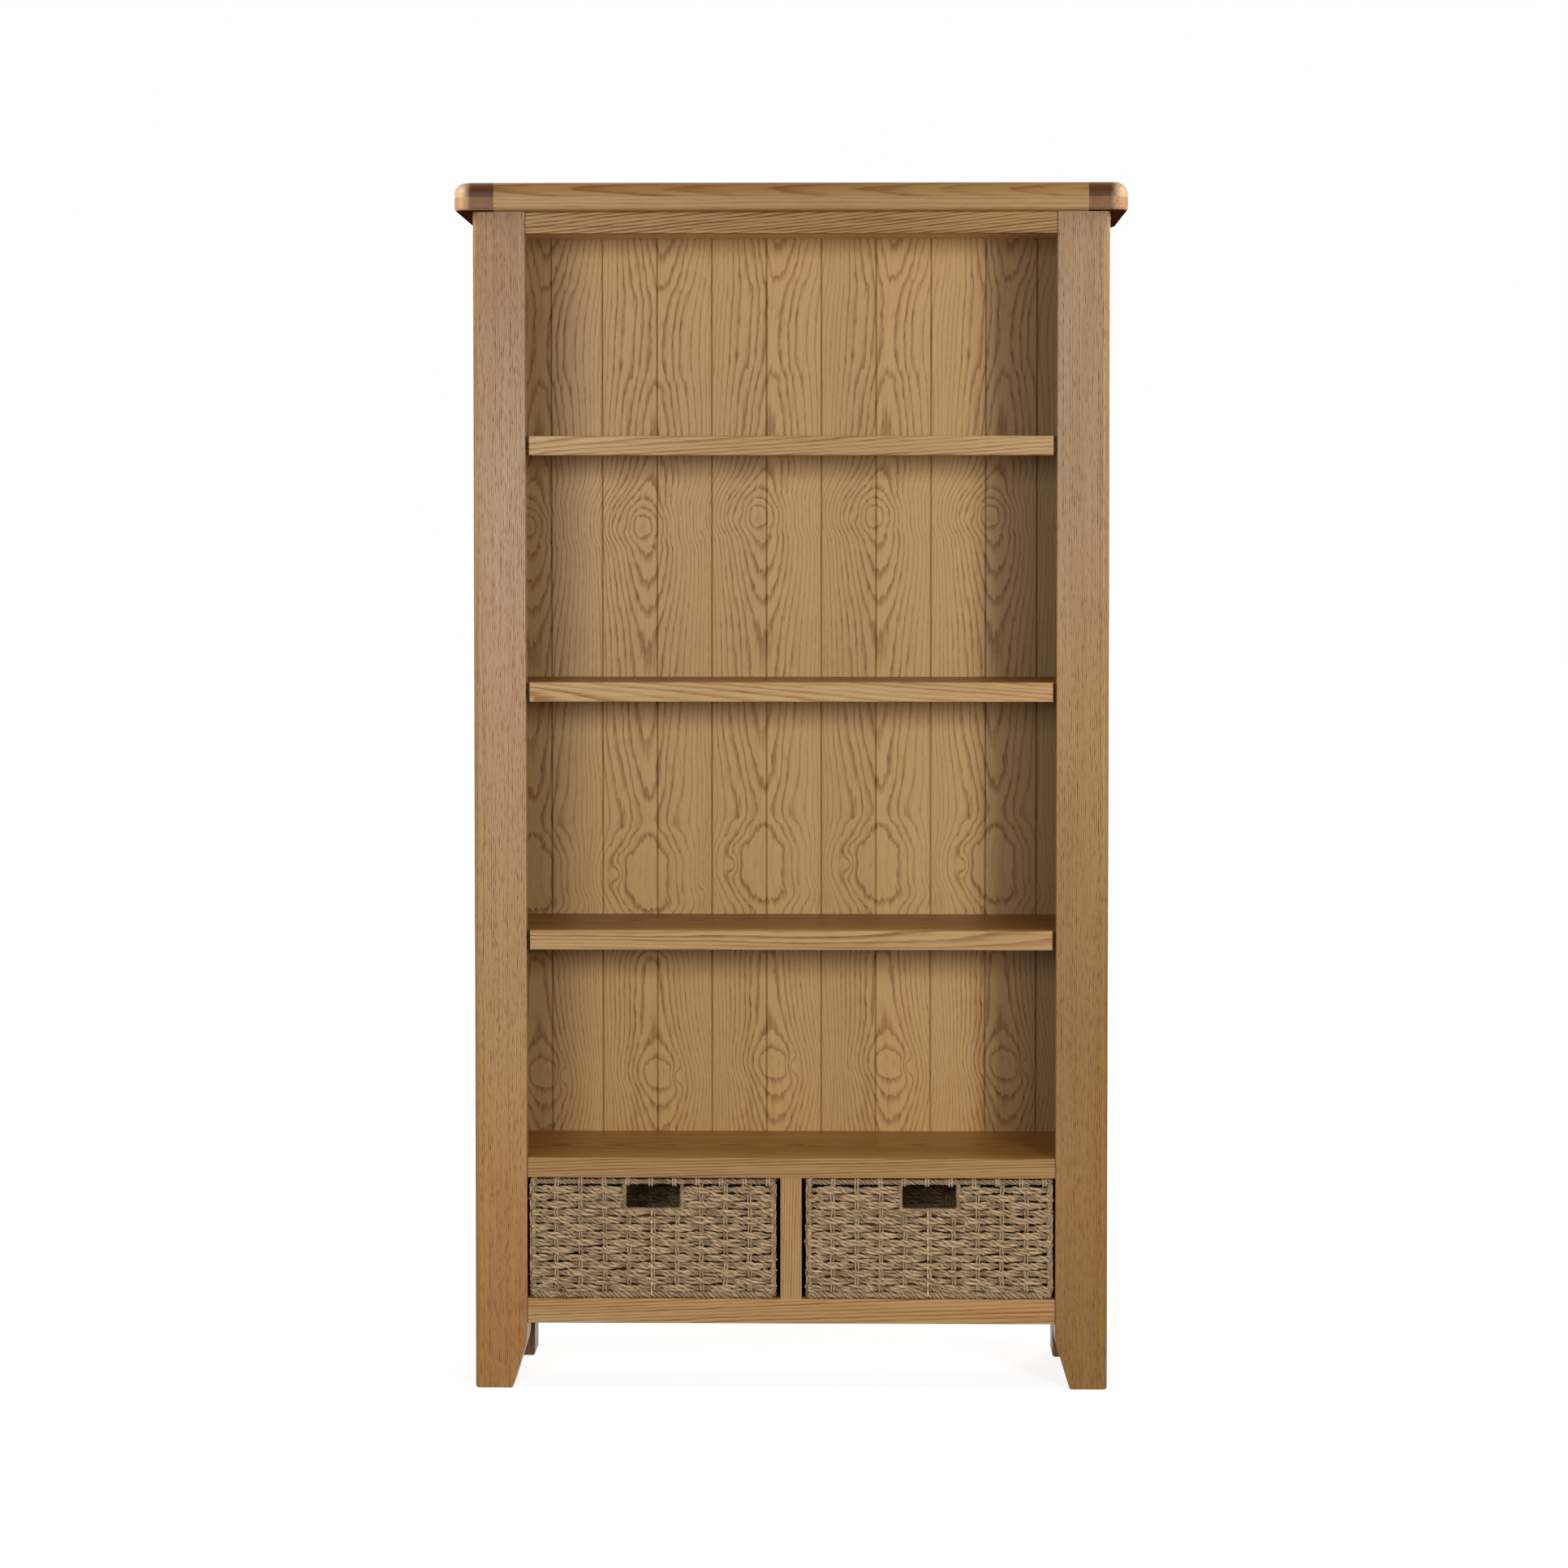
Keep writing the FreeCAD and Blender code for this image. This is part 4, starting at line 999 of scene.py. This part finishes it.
class MakeOakBoards(bpy.types.Operator):
    """Give the solid oak boards, cleats and brackets their grain"""

    bl_idname = "bookcase.oak_boards"
    bl_label = "Solid oak boards"

    # Each board has its own seed, so that no two look alike.
    seed_step = 3.1
    pores = {"Pores": 0.3}
    post_pores = {"Pores": 0.75, "Pore_Length": 0.014}
    plain_lean, plain_ring, plain_seed, plain_seed_step = (0.02, 0.01), 3.6, 70, 2.3
    plain_tone = "9C7850"

    def execute(self, context):
        settings = context.scene.bookcase_oak
        oak_surface_tree()
        for place, (node, grain, pith, lean, ring, contrast, tone) in enumerate(SOLID_BOARDS):
            look = {"Contrast": contrast, **self.pores}
            if node in JOINTED:
                look["seam"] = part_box("front_post_right")[0].x
            if node in POST_TONES:
                look.update(self.post_pores, stops=POST_TONES[node], sapwood=SAPWOOD)
            cut = (grain, pith, lean, ring, place * self.seed_step)
            cover(node, oak_board(f"oiled_oak_{node}", node, cut, settings, linear(tone), **look))
        for place, (name, grain, pith) in enumerate(PLAIN_BOARDS):
            seed = self.plain_seed + place * self.plain_seed_step
            cut = (grain, pith, self.plain_lean, self.plain_ring, seed)
            for node in (f"{name}_{side}" for side in SIDES):
                cover(node, oak_board(f"planed_oak_{node}", node, cut, settings, linear(self.plain_tone)))
        return {"FINISHED"}


class MakeEndCleats(bpy.types.Operator):
    """Give the cleats at the ends of the top their dark end grain"""

    bl_idname = "bookcase.end_cleats"
    bl_label = "End-grain cleats"

    # The faces that look down get this darker tone: painted shade under the top's overhang.
    underside = "5A3C22"
    # A coat of lacquer closes the end grain and shines on the rounded corners. The underside has none.
    lacquer = {"Coat_Weight": 0.06, "Coat_Roughness": 0.3, "Specular_IOR_Level": 0.2, "depth": 0.06}
    bare = {"Specular_IOR_Level": 0.0}
    lean, ring, pith_inward, first_seed = (0.05, 0.02), 3.4, 35, 90

    def execute(self, context):
        settings = context.scene.bookcase_oak
        tree = underside_tree()
        for side, sign in zip(SIDES, (1, -1)):
            for layer, pith_up, tone, corner in CLEATS:
                node = f"{layer}_{side}"
                seed = self.first_seed + sign * 4 + len(layer)
                cut = ("y", (pith_up, sign * self.pith_inward), self.lean, self.ring, seed)
                finish = {"corner": corner, "gloss": self.lacquer}
                cover(node, oak_board(f"end_grain_{node}", node, cut, settings, linear(tone), **finish))
                shaded_below = (f"shaded_underside_{node}", node, cut, settings, linear(self.underside))
                add_modifier(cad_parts[node], tree, {"Material": oak_board(*shaded_below, gloss=self.bare)})
        return {"FINISHED"}


class MakeVeneeredBoards(bpy.types.Operator):
    """Give the veneered panels and shelves their crown-cut figure"""

    bl_idname = "bookcase.veneered_boards"
    bl_label = "Veneered boards"

    first_seed, seed_step, contrast = 40, 2.7, 1.2

    def execute(self, context):
        settings = context.scene.bookcase_oak
        for place, (node, *cut, hex_tone) in enumerate(VENEERED_BOARDS):
            cut.append(self.first_seed + place * self.seed_step)
            tone = linear(hex_tone) if hex_tone else settings.veneer
            cover(node, oak_board(f"veneer_{node}", node, cut, settings, tone, Contrast=self.contrast))
        return {"FINISHED"}


class MakeGroovedBack(bpy.types.Operator):
    """Give the back panel its repeated veneer figure, the painted shade along its grooves and the posts'
    painted shadow
    """

    bl_idname = "bookcase.grooved_back"
    bl_label = "Grooved back"

    # Sizes in metres. The last groove each side lies further out than the boards' width gives.
    board = 0.0853
    last_even_groove = 0.33
    outer_groove = 0.3782
    groove_half = 1.7 * MM
    groove_core = 0.4 * groove_half
    groove_shade = 0.75
    board_tones = {3: 0.93, 4: 1.05}
    # The outermost boards carry a painted shadow of the posts: from where to where they darken, and to what.
    painted_post_shadows = ((-0.285, -0.4, 0.72), (0.305, 0.4, 0.6))
    # The leaves left of the middle lie a little lower than the others.
    lower_range = {1: -0.152, 2: -0.14, 3: 16 * MM, 4: 0.0}
    # A power below 2 makes the crowns pointed, and they fade where the leaf's grain runs straight.
    crown_power = 1.5
    crown_fade = {1: 5.0, 2: 12.0, 3: 1.0, 4: 0.5}
    # The middle of each eye is pale.
    eye_rings = 1.5
    # The crowns are dark and jagged up to here. The straight grain beside them is faint and fine.
    crown_middle = -0.01
    crown_range = {1: 0.03, 2: 0.078, 3: 1.0, 4: 0.0}
    look = {"Sway": 0.5, "Even Lines": 0.8, "Patches": 0.06, "Pores": 0.34, "Pore Length": 0.016}
    beside_and_amid = (("Contrast", 0.6, 1.0), ("Jags", 0.15, 0.6), ("Early Wood", 0.42, 0.6))

    def execute(self, context):
        settings = context.scene.bookcase_oak
        # Crown-cut oak veneer, laid leaf beside leaf so that one figure repeats, lacquered satin.
        material, tree = new_material("crown_cut_veneer")
        coordinates = add(tree, "ShaderNodeTexCoord").node.outputs
        parts = add(tree, "ShaderNodeSeparateXYZ", (coordinates["Object"],)).node.outputs
        lower = add(tree, "ShaderNodeMapRange", {0: parts["X"], **self.lower_range})
        height = add(tree, "ShaderNodeMath", (parts["Z"], lower), operation="ADD")
        middles = [(z, value * MM) for z, value in FIGURE_MIDDLES]
        middle = curve_over_height(tree, height, middles, *FIGURE_MIDDLE_RANGE)
        rings_up = curve_over_height(tree, height, FIGURE_RINGS, *FIGURE_RING_RANGE)
        flatness = curve_over_height(tree, height, FIGURE_FLATNESS, *FIGURE_FLATNESS_RANGE)
        half = settings.back_period / 2
        leaf_x = add(tree, "ShaderNodeMath", (parts["X"], middle), operation="SUBTRACT")
        leaf_x = add(tree, "ShaderNodeMath", (leaf_x, half, -half), operation="WRAP")
        across = add(tree, "ShaderNodeMath", (leaf_x,), operation="ABSOLUTE")
        across = add(tree, "ShaderNodeMath", (across, half), operation="DIVIDE")
        across = add(tree, "ShaderNodeMath", (across, flatness), operation="POWER")
        across = add(tree, "ShaderNodeMath", (across, settings.back_rings), operation="MULTIPLY")
        fade = add(tree, "ShaderNodeMapRange", {0: across, **self.crown_fade})
        rings_up = add(tree, "ShaderNodeMath", (rings_up, fade), operation="MULTIPLY")
        across = add(tree, "ShaderNodeMath", (across, self.crown_power), operation="POWER")
        rings_up = add(tree, "ShaderNodeMath", (rings_up, self.crown_power), operation="POWER")
        rings = add(tree, "ShaderNodeMath", (across, rings_up), operation="ADD")
        rings = add(tree, "ShaderNodeMath", (rings, 1 / self.crown_power), operation="POWER")
        rings = add(tree, "ShaderNodeMath", (rings, self.eye_rings), operation="MAXIMUM")
        place = add(tree, "ShaderNodeCombineXYZ", (leaf_x, parts["Y"], height))
        # Each swirl is a small knot: the lines bend round it.
        for (x, z), (wide, high), count in FIGURE_SWIRLS:
            size = (1 / (wide * MM), 0, 1 / (high * MM))
            away = add(tree, "ShaderNodeVectorMath", (place, (x * MM, 0, z)), operation="SUBTRACT")
            away = add(tree, "ShaderNodeVectorMath", (away, size), operation="MULTIPLY")
            square = add(tree, "ShaderNodeVectorMath", (away, away), out="Value", operation="DOT_PRODUCT")
            square = add(tree, "ShaderNodeMath", (square, -1.0), operation="MULTIPLY")
            swell = add(tree, "ShaderNodeMath", (square,), operation="EXPONENT")
            rings = add(tree, "ShaderNodeMath", (swell, count, rings), operation="MULTIPLY_ADD")
        number = add(tree, "ShaderNodeMath", (parts["X"], self.board / 2), operation="ADD")
        number = add(tree, "ShaderNodeMath", (number, self.board), operation="DIVIDE")
        number = add(tree, "ShaderNodeMath", (number,), operation="FLOOR")
        lot = add(tree, "ShaderNodeTexWhiteNoise", {"W": number}, noise_dimensions="1D")
        tone = add(tree, "ShaderNodeMapRange", {0: lot, **self.board_tones})
        near = add(tree, "ShaderNodeMath", (parts["X"], self.board, 0.0), operation="WRAP")
        near = apart(tree, near, self.board / 2)
        reach = add(tree, "ShaderNodeMath", (parts["X"],), operation="ABSOLUTE")
        outside = add(tree, "ShaderNodeMath", (reach, self.last_even_groove), operation="GREATER_THAN")
        near = add(tree, "ShaderNodeMath", (near, outside), operation="ADD")
        outer = apart(tree, reach, self.outer_groove)
        near = add(tree, "ShaderNodeMath", (near, outer), operation="MINIMUM")
        # Painted shade darkens a line along each groove, on the flat rear face as well as in the front's cut
        # grooves.
        line = {0: near, 1: self.groove_core, 2: self.groove_half, 3: self.groove_shade, 4: 1.0}
        line = add(tree, "ShaderNodeMapRange", line)
        tone = add(tree, "ShaderNodeMath", (tone, line), operation="MULTIPLY")
        # Painted shadow of the posts on the outermost boards.
        for start, end, level in self.painted_post_shadows:
            darker = {0: parts["X"], 1: start, 2: end, 3: 1.0, 4: level}
            darker = add(tree, "ShaderNodeMapRange", darker, interpolation_type="SMOOTHSTEP")
            tone = add(tree, "ShaderNodeMath", (tone, darker), operation="MULTIPLY")
        shade_over = add(tree, "ShaderNodeCombineColor", (tone, tone, tone))
        crown = {0: apart(tree, leaf_x, self.crown_middle), **self.crown_range}
        crown = add(tree, "ShaderNodeMapRange", crown, interpolation_type="SMOOTHSTEP")
        values = {"Place": place, "Rings": rings, "Across": 0.0, "Seed": 5.0, **self.look}
        for name, beside, amid in self.beside_and_amid:
            values[name] = add(tree, "ShaderNodeMapRange", {0: crown, 3: beside, 4: amid})
        finish_oak(tree, settings, values, shade_over, settings.back)
        cover("back_panel", material)
        return {"FINISHED"}


class MakeHardware(bpy.types.Operator):
    """Give the shelf pins, screws and wire frames their metal"""

    bl_idname = "bookcase.hardware"
    bl_label = "Pins, screws and wire"

    grit_tones = {3: 0.86, 4: 1.0}

    def execute(self, context):
        pins = [f"shelf_pins_{shelf}" for shelf in SHELVES]
        wires = [f"basket_frame_{side}" for side in SIDES]
        # Each finish: name, nodes, colour, metallic, roughness from and to, and grains to a metre.
        finishes = (
            # Nickel-plated steel: warm, bright, with soft rub marks from tumbling.
            ("nickel_plate", pins, "C9C2B4", 1.0, (0.24, 0.4), 900.0),
            # Zinc-plated steel: cooler and duller, cloudy.
            ("zinc_plate", ["top_screws", "cleat_screws"], "B9BCBF", 1.0, (0.34, 0.5), 500.0),
            # Powder-coated wire: black, with a fine orange-peel texture.
            ("black_powder_coat", wires, "1B1A19", 0.0, (0.45, 0.6), 700.0),
        )
        for name, nodes, colour, metallic, rough, scale in finishes:
            material, tree = new_material(name)
            place = add(tree, "ShaderNodeTexCoord", out="Object")
            grit = add(tree, "ShaderNodeTexNoise", {"Vector": place, "Scale": scale, "Detail": 2.0})
            rubbed = add(tree, "ShaderNodeMapRange", {0: grit, 3: rough[0], 4: rough[1]})
            tone = add(tree, "ShaderNodeMapRange", {0: grit, **self.grit_tones})
            tint = add(tree, "ShaderNodeCombineColor", (tone, tone, tone))
            over = {0: 1.0, 6: [*linear(colour), 1], 7: tint}
            tinted = add(tree, "ShaderNodeMix", over, out=2, data_type="RGBA", blend_type="MULTIPLY")
            relief = add(tree, "ShaderNodeBump", {"Strength": 0.15, "Distance": 0.1 * MM, "Height": grit})
            shade(tree, tinted, relief, Roughness=rubbed, Metallic=metallic)
            for node in nodes:
                cover(node, material)
        return {"FINISHED"}


class MakeWovenWalls(bpy.types.Operator):
    """Weave the walls and floors of the baskets"""

    bl_idname = "bookcase.woven_walls"
    bl_label = "Woven walls"

    # Room between the weave and the ropes of the base, the rim and the hand hole.
    over_base = 2 * MM
    under_rim = 4 * MM
    round_hole = 2 * MM
    # The front shows most, so its rope is the finest.
    fine = {"Sampling": 1.7 * MM}
    coarse = {"Sampling": 3.2 * MM, "Sides": 8}
    flat = {"Stakes": 9, "Sides": 6, "Jitter": 0.002, "Sampling": 4.5 * MM, "Twist Length": 0.04}

    def execute(self, context):
        settings = context.scene.bookcase_basket
        twisted_rope_tree()
        open_hole_tree()
        tree = woven_wall_tree()
        material = seagrass("seagrass_weave", settings)
        row, spacing = settings.row_height, settings.stake_spacing
        for side in SIDES:
            basket = Basket(side, settings)
            low, high, border, wall = basket.low, basket.high, basket.border, basket.wall
            foot = low.z + 2 * basket.base + self.over_base
            shared = {"Rope Radius": settings.rope_radius, "Seed": basket.seed, "Material": material}
            rows = int((high.z - 2 * border - self.under_rim - foot) / row) + 1
            upright = {**shared, "Rows": rows, "Row Step": (0, 0, row)}

            front = [(x, basket.path_low.y, foot) for x in (low.x + border, high.x - border)]
            reach = basket.hole_half_width + self.round_hole
            hole = {
                "Hole Low": (basket.middle - reach, -1, basket.hole_bottom - self.round_hole),
                "Hole High": (basket.middle + reach, 0, 1),
            }
            stakes = round((front[1][0] - front[0][0]) / spacing)
            front_values = {**upright, **hole, **self.fine, "Stakes": stakes}

            # The side and rear walls start behind the front's corner ropes.
            start = low.y + 2 * border
            walls = rounded_corners(basket.path_low, basket.path_high, basket.corner - wall / 2, foot)
            walls = walls[CORNER_STEPS + 1 : 3 * (CORNER_STEPS + 1)]
            walls = [(basket.path_high.x, start, foot), *walls, (basket.path_low.x, start, foot)]
            stakes = round((2 * (high.y - low.y) + high.x - low.x) / spacing)
            wall_values = {**upright, **self.coarse, "Stakes": stakes}

            floor = [(x, low.y + wall, low.z + wall / 2) for x in (low.x + wall, high.x - wall)]
            rows = int((high.y - low.y - 2 * wall) / row) + 1
            floor_values = {**shared, **self.flat, "Rows": rows, "Row Step": (0, row, 0)}

            pieces = (
                ("front", front, front_values), ("walls", walls, wall_values), ("floor", floor, floor_values)
            )
            for name, path, values in pieces:
                obj = path_object(f"basket_{name}_{side}", [(path, False)])
                run_nodes(obj, tree, values)
                if name == "front":
                    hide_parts(basket.node)
                basket.ride(obj)
        return {"FINISHED"}


class MakeRopeBorders(bpy.types.Operator):
    """Lay the twisted ropes round the baskets' rims, bases, corners and hand holes"""

    bl_idname = "bookcase.rope_borders"
    bl_label = "Rope borders"

    # Shares of the border rope's radius: how far in the corner ropes stand, and the hand hole's rope.
    corner_inset = 1.4
    hole_outset = 0.6
    hole_radius = 0.85
    # The hand hole's rope stands out this far, and cuts its lower corners by this much.
    hole_forward = 1 * MM
    hole_bevel = 4 * MM
    # Length of a turn of the twist, as a share of the rope's radius.
    twist = 5.2

    def execute(self, context):
        settings = context.scene.bookcase_basket
        tree = rope_border_tree()
        material = seagrass("seagrass_border", settings, lift=0.7)
        for side in SIDES:
            basket = Basket(side, settings)
            border, base = basket.border, basket.base
            head, foot = basket.high.z - border, basket.low.z + base
            inset = border * self.corner_inset
            xs = (basket.low.x + inset, basket.high.x - inset)
            ys = (basket.low.y + inset, basket.high.y - inset)
            reach = basket.hole_half_width + border * self.hole_outset
            bottom = basket.hole_bottom - border * self.hole_outset
            left, right, bevel = basket.middle - reach, basket.middle + reach, self.hole_bevel
            hole = ((left, head), (left, bottom + bevel), (left + bevel, bottom))
            hole += ((right - bevel, bottom), (right, bottom + bevel), (right, head))
            hole = [(x, basket.path_low.y - self.hole_forward, z) for x, z in hole]
            ropes = (
                ("rim", [(basket.outline(border, head), True)], border),
                ("base", [(basket.outline(base, foot), True)], base),
                ("corners", [([(x, y, foot), (x, y, head)], False) for x in xs for y in ys], border),
                ("hole", [(hole, False)], border * self.hole_radius),
            )
            for place, (name, paths, radius) in enumerate(ropes):
                obj = path_object(f"basket_{name}_{side}", paths)
                values = {"Radius": radius, "Twist Length": self.twist * radius, "Seed": basket.seed + place}
                run_nodes(obj, tree, {**values, "Material": material})
                basket.ride(obj)
        return {"FINISHED"}


class MakeRopeLoops(bpy.types.Operator):
    """Wrap the rims with thin rope and stitch the fronts below the hand holes"""

    bl_idname = "bookcase.rope_loops"
    bl_label = "Wraps and stitches"

    # How far the wraps lie below the rim's middle, and how much deeper and higher than its rope they are.
    wrap_drop, wrap_depth, wrap_height = 0.6 * MM, 0.5 * MM, 1.2 * MM
    stitch_aside = 2 * MM
    stitches = {
        "Spacing": 13.2 * MM,
        "Gap": 0.3 * MM,
        "Half Depth": 6.2 * MM,
        "Half Height": 4.2 * MM,
        "Radius": 0.9 * MM,
    }

    def execute(self, context):
        settings = context.scene.bookcase_basket
        tree = rope_loops_tree()
        wrap_material = seagrass("seagrass_wraps", settings, lift=1.1, paleness=0.4)
        stitch_material = seagrass("seagrass_stitches", settings, lift=1.25, paleness=0.8)
        for side in SIDES:
            basket = Basket(side, settings)
            border = basket.border
            rim = basket.outline(border, basket.high.z - border - self.wrap_drop)
            wraps = {"Spacing": settings.stake_spacing, "Seed": basket.seed + 7, "Material": wrap_material}
            wraps.update({"Half Depth": border + self.wrap_depth, "Half Height": border + self.wrap_height})
            ends = (basket.low.z + 2 * border, basket.hole_bottom - 2 * border)
            line = [(basket.middle - self.stitch_aside, basket.path_low.y, z) for z in ends]
            stitches = {**self.stitches, "Seed": basket.seed + 9, "Material": stitch_material}
            for name, path, values in (("wraps", (rim, True), wraps), ("stitches", (line, False), stitches)):
                obj = path_object(f"basket_{name}_{side}", [path])
                run_nodes(obj, tree, values)
                basket.ride(obj)
        return {"FINISHED"}


def seen_ray(tree):
    """1 where the eye looks, also by way of glass and metal, and 0 for the light that bounces."""
    path = add(tree, "ShaderNodeLightPath").node.outputs
    shown = path["Is Camera Ray"]
    for ray in ("Is Glossy Ray", "Is Transmission Ray"):
        shown = add(tree, "ShaderNodeMath", (shown, path[ray]), operation="MAXIMUM")
    return shown


class MakeStage(bpy.types.Operator):
    """Set up the pale floor, the soft lights and the camera"""

    bl_idname = "bookcase.stage"
    bl_label = "Stage"

    floor_reach = 40.0
    paper = "A8A8A6"
    # From here to here, in metres, the floor's glow rises from and to these levels.
    glow_range = {1: 0.7, 2: 2.4, 3: 0.86, 4: 1.0}
    # Each lamp: name, place, where it aims, its width and height in metres, and its power in watts.
    lamps = (
        ("key", (2.22, -5.45, 1.62), (0, 0, 0.9), (0.9, 0.9), 124),
        ("fill", (-1.22, -5.45, 1.62), (0, 0, 0.9), (1.7, 0.9), 64),
        ("side_left", (-1.3, -0.32, 2.1), (-0.5, -0.1, 1.75), (0.5, 0.5), 8),
        ("side_right", (1.3, -0.32, 2.1), (0.5, -0.1, 1.75), (0.5, 0.5), 7),
        ("behind", (1.5, 6.0, 2.6), (0, 0, 0.9), (3.0, 2.0), 170),
    )

    def execute(self, context):
        scene = context.scene
        settings = scene.bookcase_stage
        scene.view_settings.view_transform = "Standard"

        reach = self.floor_reach
        corners = [(-reach, -reach, 0), (reach, -reach, 0), (reach, reach, 0), (-reach, reach, 0)]
        mesh = bpy.data.meshes.new("floor")
        mesh.from_pydata(corners, [], [(0, 1, 2, 3)])
        floor = new_object("floor", mesh)
        # Pale paper: matt grey for the light that bounces, near white to the eye, and it keeps the shadow.
        material, tree = new_material("pale_floor")
        paper = add(tree, "ShaderNodeBsdfDiffuse", {"Color": [*linear(self.paper), 1]})
        seen_paper = add(tree, "ShaderNodeBsdfDiffuse", {"Color": [0.5, 0.5, 0.5, 1]})
        # The glow rises to white away from the object, whose shadow stays.
        place = add(tree, "ShaderNodeTexCoord", out="Object")
        away = add(tree, "ShaderNodeVectorMath", (place,), out="Value", operation="LENGTH")
        level = {0: away, **self.glow_range}
        level = add(tree, "ShaderNodeMapRange", level, interpolation_type="SMOOTHSTEP")
        glow = add(tree, "ShaderNodeEmission", {"Color": [1, 1, 1, 1], "Strength": level})
        seen = add(tree, "ShaderNodeAddShader", (seen_paper, glow))
        surface = add(tree, "ShaderNodeMixShader", (seen_ray(tree), paper, seen))
        add(tree, "ShaderNodeOutputMaterial", {"Surface": surface})
        mesh.materials.append(material)

        world = bpy.data.worlds.new("studio")
        world.use_nodes = True
        scene.world = world
        tree = world.node_tree
        tree.nodes.clear()
        even = add(tree, "ShaderNodeBackground", {"Color": [1, 1, 1, 1], "Strength": settings.world_level})
        white = add(tree, "ShaderNodeBackground", {"Color": [1, 1, 1, 1], "Strength": 1.0})
        surface = add(tree, "ShaderNodeMixShader", (seen_ray(tree), even, white))
        add(tree, "ShaderNodeOutputWorld", {"Surface": surface})

        for name, place, aim, size, power in self.lamps:
            lamp = bpy.data.lights.new(name, "AREA")
            lamp.shape = "RECTANGLE"
            lamp.size, lamp.size_y = size
            lamp.energy = power
            obj = new_object(name, lamp)
            obj.location = place
            obj.rotation_euler = (Vector(aim) - Vector(place)).to_track_quat("-Z", "Y").to_euler()

        camera = bpy.data.cameras.new("camera")
        camera.lens = settings.lens
        camera.sensor_width = 36
        camera.shift_y = settings.lens_shift
        obj = new_object("camera", camera)
        obj.location = settings.camera_place
        obj.rotation_euler = (math.pi / 2 - settings.camera_tilt, 0, settings.camera_yaw)
        scene.camera = obj
        return {"FINISHED"}


OPERATORS = (
    MakeOakBoards,
    MakeEndCleats,
    MakeVeneeredBoards,
    MakeGroovedBack,
    MakeHardware,
    MakeWovenWalls,
    MakeRopeBorders,
    MakeRopeLoops,
    MakeStage,
)


class BookcasePanel(bpy.types.Panel):
    """Lists the settings and the steps"""

    bl_idname = "VIEW3D_PT_bookcase"
    bl_label = "Oak bookcase"
    bl_space_type = "VIEW_3D"
    bl_region_type = "UI"
    bl_category = "Bookcase"

    def draw(self, context):
        for group, kind in SETTINGS.items():
            for name in kind.__annotations__:
                self.layout.prop(getattr(context.scene, group), name)
        for operator in OPERATORS:
            self.layout.operator(operator.bl_idname)


SETTINGS = {
    "bookcase_oak": OakSettings,
    "bookcase_basket": BasketSettings,
    "bookcase_stage": StageSettings,
}


def register():
    for kind in (*SETTINGS.values(), *OPERATORS, BookcasePanel):
        bpy.utils.register_class(kind)
    for name, kind in SETTINGS.items():
        setattr(bpy.types.Scene, name, bpy.props.PointerProperty(type=kind))


def unregister():
    for name in SETTINGS:
        delattr(bpy.types.Scene, name)
    for kind in reversed((*SETTINGS.values(), *OPERATORS, BookcasePanel)):
        bpy.utils.unregister_class(kind)


def main():
    """Make every piece in order."""
    register()
    for operator in OPERATORS:
        group, name = operator.bl_idname.split(".")
        getattr(getattr(bpy.ops, group), name)()


if __name__ == "__main__":
    main()
